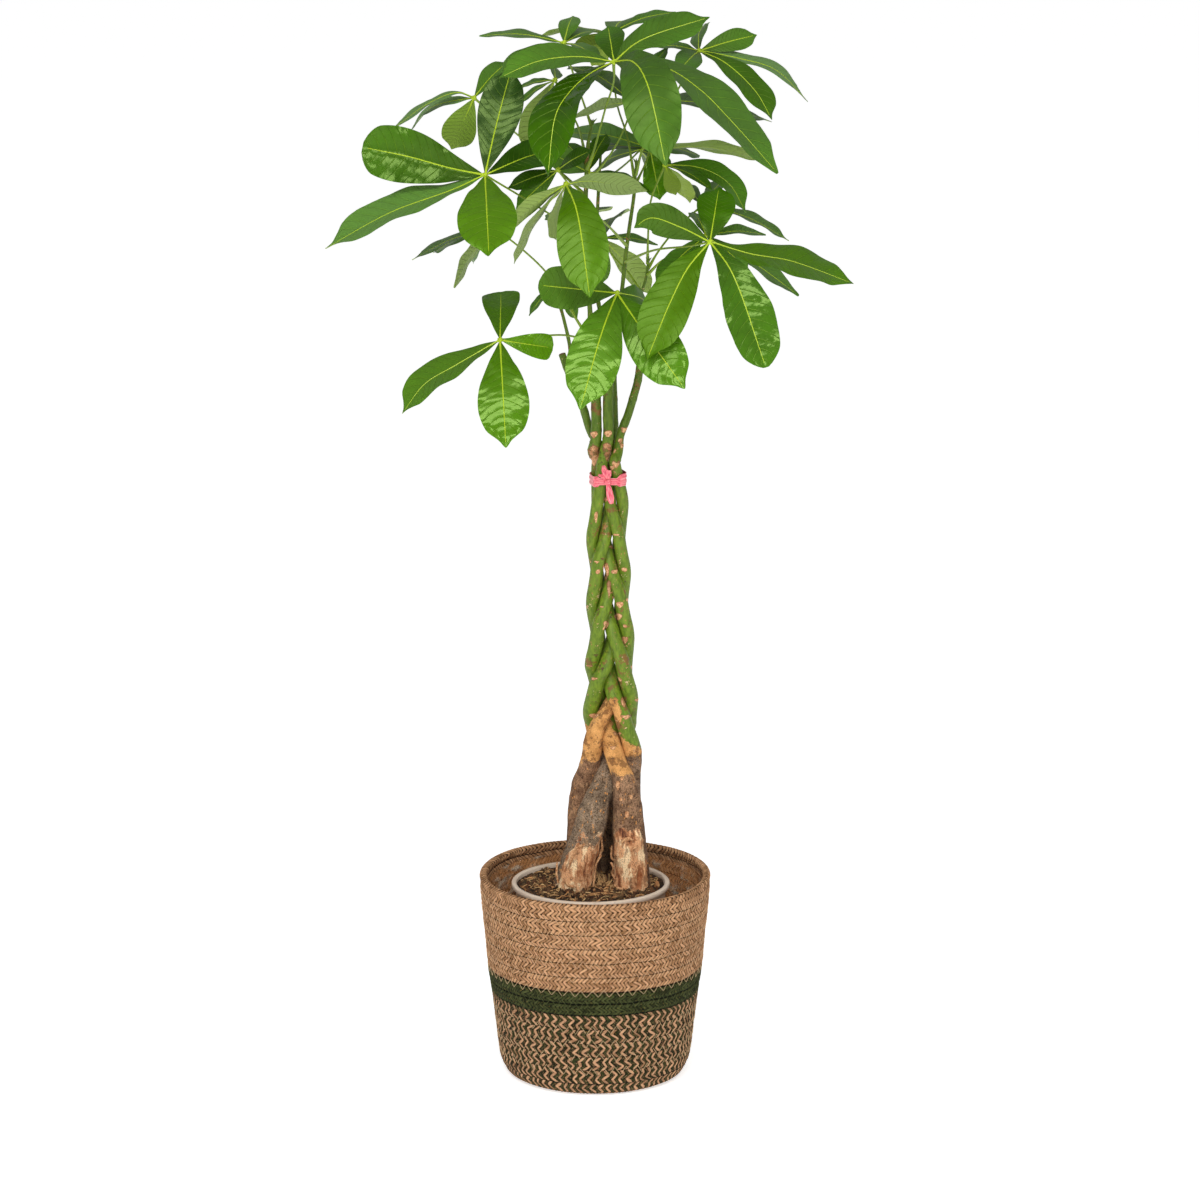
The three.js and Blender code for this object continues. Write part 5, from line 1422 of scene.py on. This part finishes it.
def trunk_tone(trunk, points, outward, turn, rng):
    """Shares of peeled wood, green bark, tan mark and ochre bark over the trunk's skin."""
    z = points[..., 2]
    wander = lumps(points, 17, 41) * 8 + lumps(points, 6, 42) * 5
    off = np.abs(turned_from(turn, trunk["open"]))
    window = smooth((1.75 - off + 0.25 * lumps(points, 12, 43)) / 0.7)
    peel_edge = SOIL_TOP - 12 + (trunk["peel"] - SOIL_TOP + 12) * window
    peeled = smooth((peel_edge + wander - z) / 16 + 0.5)
    side = 7 * np.cos(turn - 0.4)
    green = smooth((z + side + wander - trunk["green"]) / 20 + 0.5)
    if "bare" in trunk:
        px, py, half_width, half_height = trunk["bare"]
        across, down = seen(points)
        reach = np.hypot((across - px) / half_width, (down - py) / half_height)
        green = green * smooth((reach - 0.7) / 0.6)
    ochre = smooth((z + wander * 0.7 - trunk["ochre"]) / 16 + 0.5)
    scar = front_marks(points, outward)
    height = trunk["green"] + 8
    while height < SCAR_TOP:
        centre = rng.uniform(-math.pi, math.pi)
        wide, tall = rng.uniform(0.25, 0.8), rng.uniform(0.8, 2.6)
        slope = rng.uniform(-1.2, 1.2)
        off = turned_from(turn, centre)
        reach = np.hypot((z - height - slope * off) / tall, off / wide)
        scar = np.maximum(scar, 0.9 * (1 - smooth((reach - 0.7) / 0.5)))
        height += rng.uniform(12, 40) * (0.5 if height > 640 else 1)
    return np.stack((peeled, green, scar, ochre), axis=-1)


def peel_strips(skin, trunk, rings, outward):
    """Loose strips of bark laid along the trunk's front, their ends standing off it."""
    across, down = seen(rings)
    faces = faces_eye(rings, outward)
    for way, width in PEELS.get(trunk["name"], ()):
        stations, facing = [], np.zeros(3)
        for k, (px, py) in enumerate(way):
            off = np.where(faces, np.hypot(across - px, down - py), np.inf)
            near = np.unravel_index(off.argmin(), off.shape)
            lift = 3.4 if k in (0, len(way) - 1) else 1.8
            stations.append(rings[near] + outward[near] * lift)
            facing += outward[near]
        widths = [share * width for share in (1.0, 1.9, 2.1, 1.8, 0.6)]
        ribbon_strip(skin, Curve(stations), widths, facing, 0.7, tone=(1, 0, 1.3, 0))


def trunk_in_braid(trunk, index):
    """Rings, their middles and radii, from the root's end to the tie, level by level."""
    middles = SLICE_MIDDLES[:, index].copy()
    lean = 1 - smooth((middles[:, 2] - SOIL_TOP) / LEAN_HEIGHT)
    middles[:, 0] += trunk.get("lean", 0) * lean
    sway = np.exp(-((middles[:, 2] - SWAY_HEIGHT) / SWAY_REACH) ** 2)
    middles[:, 0] += trunk.get("sway", 0) * sway
    path = Curve(middles)
    heights = np.arange(SLICE_HEIGHTS[0], BRAID_TOP, TRUNK_STEP)
    run = path.point(path.shares)
    centres = path.point(np.interp(heights, run[:, 2], path.shares))
    radii = np.interp(heights, SLICE_HEIGHTS, SLICE_RADII[:, index])
    way = around(1, whole_turn(TRUNK_SIDES), 0)
    return centres[:, None] + radii[:, None, None] * way, centres, radii


def trunk_stem(path, girths):
    """Rings, their middles and radii, along the stem, with its slightly swollen joints."""
    stations = max(12, round(path.length / 2))
    shares = np.linspace(0, 1, stations + 1)[1:]
    radii = spread_over(shares, girths)
    joints = np.maximum(0, np.sin(shares * path.length / JOINT_PITCH * 2 * math.pi)) ** 6
    rings = tube_rings(path, shares, radii * (1 + 0.07 * joints), TRUNK_SIDES, (1, 0, 0))
    return rings, path.point(shares), radii


def trunk_piece(trunk, index):
    rng = Random(100 + index)
    name = trunk["name"]
    path = Curve([SLICE_MIDDLES[-1, index], *map(at, trunk["stem"])])
    girths = [SLICE_RADII[-1, index], *trunk["girths"]]
    lengths = zip(trunk_in_braid(trunk, index), trunk_stem(path, girths))
    rings, middles, radii = (np.concatenate(pair) for pair in lengths)
    outward = unit(rings - middles[:, None])
    turn = np.broadcast_to(whole_turn(TRUNK_SIDES), rings.shape[:2])
    tone = trunk_tone(trunk, rings, outward, turn, rng)
    relief = bark_relief(rings, tone) * np.clip(radii[:, None] / 9, 0.15, 1)
    rings = rings + outward * relief[..., None]
    skin = Skin()
    skin.grid(rings, tone=tone)
    peel_strips(skin, trunk, rings, outward)
    top, tip = rings[-1].mean(axis=0), path.tangent(1.0)[0]
    if girths[-1] > CUT_GIRTH:
        cut_end(skin, top, tip, girths[-1])
    else:
        bud(skin, top, tip, rng)
    if "shoot" in trunk:
        shoot = Curve([at(place) for place in trunk["shoot"]])
        joints = np.maximum(0, np.sin(np.linspace(0, 22, SHOOT_RINGS))) ** 4
        fine = spread_over(np.linspace(0, 1, SHOOT_RINGS), SHOOT_GIRTHS) * (1 + 0.12 * joints)
        skin.tube(shoot, fine, 12, tone=(0, 1, 0, 0))
        bud(skin, shoot.point(1.0)[0], shoot.tangent(1.0)[0], rng)
    bark = bark_finish("bark_" + name, trunk["grey"])
    skin.build("look_" + name, [bark, CUT_WOOD], "bark", name)


def cut_end(skin, top, way, radius):
    """A sawn end: a rough brown disc on the stem's top."""
    normal = unit(np.cross(way, (0.2, 1, 0)))
    spokes = circle(24, normal, np.cross(way, normal))
    rings = []
    for lift, share in ((-1.5, 0.97), (0.1, 0.95), (0.5, 0.8), (0.2, 0.45), (0.3, 0.1)):
        ring = top + way * lift + share * radius * spokes
        rings.append(ring + way * (0.3 * lumps(ring, 1.5, 51))[:, None])
    skin.grid(np.array(rings), finish=1)


def bud(skin, top, way, rng):
    """Small pointed bud with two folded young leaves."""
    for lean in (-0.5, 0.0, 0.6):
        side = unit(np.cross(way, (0.3, 1, 0.1))) * lean
        tip = top + (way + side) * rng.uniform(5, 8)
        path = Curve((top - way * 1.5, top + (way + 0.4 * side) * 3, tip))
        skin.tube(path, (0.7, 1.3, 1.2, 0.8, 0.15), 8, tone=(0, 1, 0, 0))


# ---------------------------------------------------------------- ribbon tie

def tie_reach(z, way):
    """How far the trunks near a height reach along level ways."""
    near = np.abs(SLICE_HEIGHTS - z) < BRAID_STEP
    middles, radii = SLICE_MIDDLES[near].reshape(-1, 3), SLICE_RADII[near].reshape(-1)
    reach = middles[:, :2] @ way.T + radii[:, None]
    far = reach.argmax(axis=0)
    return middles[far, :2], radii[far]


def ribbon_uv(rows, columns):
    along, across = np.linspace(0, 8, rows), np.linspace(0, 2, columns)
    return np.stack(np.meshgrid(along, across, indexing="ij"), axis=-1)


def ribbon_band(skin, low, high, tilt, outward, seed):
    """One wrap of ribbon round the trunks, pleated along its length and pinched at the knot."""
    turns = whole_turn(RIBBON_COLUMNS)
    way = around(1, turns, 0)[:, :2]
    middles, radii = tie_reach((low + high) / 2, way)
    pinch = 1 - 0.4 * np.exp(-(turned_from(turns, -math.pi / 2) / 0.28) ** 2)
    rows = []
    for share in np.linspace(0, 1, RIBBON_ROWS):
        level = low + (high - low) * share + tilt * np.cos(turns)
        level = KNOT_LEVEL + (level - KNOT_LEVEL) * pinch
        place = np.concatenate((middles + way * radii[:, None], level[:, None]), axis=1)
        pleat = 0.4 * np.sin(share * 13 + 1.5 * lumps(place * (1, 1, 0), 16, seed)) + 0.4 * (1 - pinch)
        place[:, :2] += way * (outward + RIBBON + pleat * math.sin(math.pi * share) ** 0.3)[:, None]
        rows.append(place)
    outer = np.array(rows)
    inner = outer.copy()
    inner[..., :2] -= RIBBON * way
    uv = ribbon_uv(len(turns) + 1, 2 * len(rows) + 1)
    skin.grid(np.concatenate((outer, inner[::-1])).transpose(1, 0, 2), uv, loop=True)


def ribbon_strip(skin, path, widths, facing, fold, tone=(0, 0, 0, 0)):
    """A flat strip along a curve, with a lengthwise fold."""
    shares = np.linspace(0, 1, STRIP_ROWS)
    centres, along = path.point(shares), path.tangent(shares)
    width = spread_over(shares, widths)
    normal = square_to(along, facing)
    side = np.cross(along, normal)
    rings = []
    for lift, sign in ((0.2, 1), (-0.2, -1)):
        for v in np.linspace(-1, 1, STRIP_COLUMNS)[::sign]:
            bend = fold * math.cos(math.pi * v * 1.2) + 0.35 * lumps(centres + side * v * 3, 3, 61)
            rings.append(centres + side * (v * width / 2)[:, None] + normal * (lift + bend)[:, None])
    uv = ribbon_uv(STRIP_ROWS, 2 * STRIP_COLUMNS + 1) * (0.4, 1)
    skin.grid(np.stack(rings, axis=1), uv, tone=tone)


def folded_ball(centre, size):
    """A lump with grooves that run round it: the ribbon's knot, or the hub of a leaf."""
    levels = np.linspace(-0.98, 0.98, 14)[:, None]
    ball = around(np.sqrt(1 - levels * levels), whole_turn(26), levels)
    groove = 1 + 0.09 * np.sin(7 * ball[..., 2] + 4 * ball[..., 0]) + 0.1 * lumps(ball, 0.6, 65)
    return centre + ball * size * groove[..., None]


def tie():
    skin = Skin()
    ribbon_band(skin, TIE_BOTTOM + 1.5, TIE_TOP - 4, 0.6, TIE_CLEARANCE, 71)
    ribbon_band(skin, TIE_BOTTOM + 3, TIE_TOP - 2.2, 1.8, TIE_CLEARANCE + 0.55, 75)
    middles, radii = tie_reach((TIE_BOTTOM + TIE_TOP) / 2, unit(np.array(((0.05, -1.0),))))
    front = middles[0, 1] - radii[0] - TIE_CLEARANCE
    knot = np.array((KNOT_X, front - 2.2, KNOT_LEVEL))
    ball = folded_ball(knot, (3.6, 2.4, 3.4))
    skin.grid(ball, ribbon_uv(ball.shape[0], ball.shape[1] + 1) * (0.3, 1))
    for offsets, widths, fold in TAILS:
        ribbon_strip(skin, Curve([knot + offset for offset in offsets]), widths, (0, -1, 0.1), fold)
    skin.build("look_tie", [PINK_RIBBON], "pink_ribbon", "tie")


# ---------------------------------------------------------------- leaves

def outline(share, kept):
    """Half width along a leaflet: narrow foot, widest past the middle, short drawn-out tip."""
    round_part = np.sin(math.pi * (np.clip(share, 0, 1) * kept) ** 1.45) ** 0.68
    if kept < 1:
        return round_part * np.sqrt(np.clip(1 - (np.maximum(share - 0.88, 0) / 0.122) ** 2, 0, 1))
    return round_part * (1 - 0.5 * smooth((share - 0.84) / 0.13))


def face_normal(hub, tip, shows):
    """The way a leaflet faces, and its width, so that the picture shows that much of it."""
    along = tip - hub
    width = max(BLADE_RATIO * np.linalg.norm(along), abs(shows) * CROWN_SCALE)
    along = unit(along)
    to_eye = EYE - hub
    to_eye = unit(to_eye - along * to_eye.dot(along))
    up = np.cross(along, to_eye)
    if up[2] < 0:
        up = -up
    share = shows * CROWN_SCALE / width
    return to_eye * share + up * math.sqrt(1 - share * share), width


def midrib(hub, tip, via, arch):
    """A leaflet's rib through its bends, or arched a little where it has none."""
    bends = []
    for k, (px, py) in enumerate(via):
        share = (k + 1) / (len(via) + 1)
        bends.append(at((px, py, hub[1] + (tip[1] - hub[1]) * share)))
    return Curve([hub, *(bends or [(hub + tip) / 2 + arch]), tip])


def blade_relief(flat, part, v, half, width, shows, gloss, rng):
    """How far a blade rises from flat: its fold, quilting, waves, curl and twist."""
    out, size = np.abs(v), width / 50
    bulge = np.sin(math.pi * vein_order(part, out)) ** 2 * np.sqrt(out) * (1 - out ** 4)
    quilt = (0.7 + 1.2 * gloss) * size * bulge * np.minimum(1, half / (0.35 * width))
    waves, start = rng.uniform(2.2, 3.6), rng.uniform(0, 1)
    wave = np.sin(2 * math.pi * (waves * part + start + 0.25 * np.sign(v)))
    wave = wave * out ** 2.5 * 1.2 * size * smooth(part * 4)
    curl = rng.uniform(-0.05, 0.12) * half * out ** 2
    fold = BLADE_FOLD * half * (np.sqrt(v * v + 0.01) - 0.1)
    twist = math.radians(rng.uniform(-7, 7)) * smooth(part)
    opened = 0.3 + 0.7 * min(1, abs(shows) * CROWN_SCALE / width)
    pucker = opened * (0.6 + 0.55 * gloss) * size * lumps(flat * (1, 1, 1.4), 11, 81)
    pucker = pucker * np.minimum(1, half / 12) * smooth(out * 2.5)
    return fold + quilt + pucker + wave - curl + half * v * np.tan(twist)


def leaflet(skin, hub, plan, tone, rng):
    """A thin closed blade and its rib."""
    tip = at(plan["tip"])
    normal, width = face_normal(hub, tip, plan["shows"])
    reach = np.linalg.norm(tip - hub)
    rib = midrib(hub, tip, plan["via"], normal * BLADE_ARCH * reach)
    part = np.linspace(FOOT_REACH / reach, BLADE_END, max(14, round(rib.length / BLADE_STEP)))
    shares = rib.by_length(part)
    centre, along = rib.point(shares), rib.tangent(shares)
    face = square_to(along, normal)
    half = np.maximum(width / 2 * outline(part, plan["blunt"]), BLADE_LEAST)[:, None]
    v = np.linspace(-1, 1, 2 * BLADE_COLUMNS + 1)
    v = np.sign(v) * np.abs(v) ** 0.9
    part = part[:, None]
    flat = centre[:, None] + np.cross(along, face)[:, None] * (half * v)[..., None]
    rise = blade_relief(flat, part, v, half, width, plan["shows"], tone[3], rng)
    thick = BLADE_THICKNESS / 2 * (1 - 0.6 * v ** 2)
    top, edge, low = (flat + face[:, None] * (rise + lift)[..., None] for lift in (thick, 0, -thick))
    top[:, 0], top[:, -1] = edge[:, 0], edge[:, -1]
    rings = np.concatenate((top, low[:, -2:0:-1]), axis=1)
    across = np.concatenate((v, v[-2:0:-1], v[:1]))
    uv = np.stack(np.broadcast_arrays(part, across), axis=-1)
    columns = np.where(np.arange(rings.shape[1]) < len(v) - 1, 0, 1)
    skin.grid(rings, uv, finish=columns, tone=tuple(tone))
    steps = np.linspace(0, len(centre) - 3, min(len(centre) - 2, 36)).round().astype(int)
    girths = np.array((1.2, 0.86, 0.74, 0.66, 0.6, 0.52, 0.44, 0.3)) * min(1.1, 0.55 + reach / 260)
    girths = spread_over(np.linspace(0, 1, len(steps)), girths)
    rib = Curve(centre[steps] + 0.2 * face[steps])
    skin.tube(rib, girths, 6, start=tuple(face[0]), finish=2, tone=(0.6, 0.9, 0, 0))


def middle_lines():
    """The centre lines that petioles grow from."""
    lines = []
    for trunk in TRUNKS:
        for key in ("stem", "shoot"):
            if key in trunk:
                curve = Curve([at(place) for place in trunk[key]])
                lines.append(curve.point(np.linspace(0, 1, SEAT_STEPS + 1)))
    return np.concatenate(lines)


def leaf(name, plan, seats, rng):
    """A compound leaf: petiole, hub and leaflets."""
    hub_place, petiole, blades = plan
    hub = at(hub_place)
    way = [hub, *map(at, petiole)]
    seat = seats[np.linalg.norm(seats - way[-1], axis=1).argmin()]
    way[-1] = seat + unit(way[-2] - seat) * PETIOLE_END
    skin = Skin()
    stalk = Curve(way)
    radii = PETIOLE_RADIUS * np.array((1.15, 0.85, 0.8, 0.8, 0.8, 0.82, 0.85, 0.95, 1.3, 1.5))
    radii = spread_over(np.linspace(0, 1, max(10, round(stalk.length / 5))), radii)
    skin.tube(stalk, radii, 8, finish=2, tone=(0.5, 0.25, 0, 0))
    skin.grid(folded_ball(hub, HUB_RADIUS), finish=2, tone=(0.6, 0.9, 0, 0))
    for each in blades:
        tone = np.array(each["look"]) + [rng.uniform(-0.12, 0.12) for _ in range(4)]
        leaflet(skin, hub, each, np.clip(tone, 0, 1), rng)
    skin.build("look_" + name, [LEAF_TOP, LEAF_UNDER, STALK], "leaf", name, sharp=35)


# ---------------------------------------------------------------- stage

def floor():
    corners = [(x * FLOOR_REACH, y * FLOOR_REACH, 0) for x, y in ((-1, -1), (1, -1), (1, 1), (-1, 1))]
    mesh = bpy.data.meshes.new("floor")
    mesh.from_pydata(corners, [], [(0, 1, 2, 3)])
    white = {"Base_Color": (0.93, 0.93, 0.93, 1), "Emission_Color": (1, 1, 1, 1)}
    mesh.materials.append(Finish("pale_floor", Roughness=0.9, Emission_Strength=0.6, **white).material)
    placed("floor", mesh)


def aimed(data, place, target):
    lamp = placed(data.name, data)
    lamp.location = place
    lamp.rotation_euler = (Vector(target) - Vector(place)).to_track_quat("-Z", "Y").to_euler()


def softbox(name, place, target, size, power):
    data = bpy.data.lights.new(name, "AREA")
    data.shape, data.size, data.size_y, data.energy = "RECTANGLE", *size, power
    aimed(data, place, target)


def lights():
    """Low, wide light from the front, and softboxes for the gloss."""
    world = bpy.data.worlds.new("studio")
    world.use_nodes = True
    sky = world.node_tree.nodes["Background"].inputs
    sky["Color"].default_value = (1, 1, 1, 1)
    sky["Strength"].default_value = 0.36
    bpy.context.scene.world = world
    even = bpy.data.lights.new("even", "SUN")
    even.energy, even.angle = 0.3, math.radians(40)
    aimed(even, (-0.8, -2.4, 3.2), (0, 0, 0.6))
    softbox("wide", (0.2, -2.15, 2.5), (0, 0, 1.0), (2.8, 0.6), 46)
    softbox("key", (-1.2, -2.8, 1.6), (0, 0, 0.7), (0.7, 1.2), 16)
    softbox("behind", (0.75, -5.5, 1.8), (0, 0, 0.9), (1.3, 0.8), 34)


def camera():
    data = bpy.data.cameras.new("camera")
    data.sensor_width = 36
    data.lens = FOCAL_PIXELS / PICTURE_SIZE * data.sensor_width
    data.clip_end = 100
    eye = placed("camera", data)
    eye.location = EYE * MM
    eye.rotation_euler = (math.pi / 2 - EYE_PITCH, 0, 0)
    bpy.context.scene.camera = eye
    bpy.context.scene.view_settings.view_transform = "Standard"


camera()
lights()
floor()
basket()
liner()
nursery_pot()
soil()
soil_litter()
for number, entry in enumerate(TRUNKS):
    trunk_piece(entry, number)
tie()
LEAF_SEATS = middle_lines()
LEAF_RANDOM = Random(7)
for leaf_name, leaf_plan in LEAVES.items():
    leaf(leaf_name, leaf_plan, LEAF_SEATS, LEAF_RANDOM)
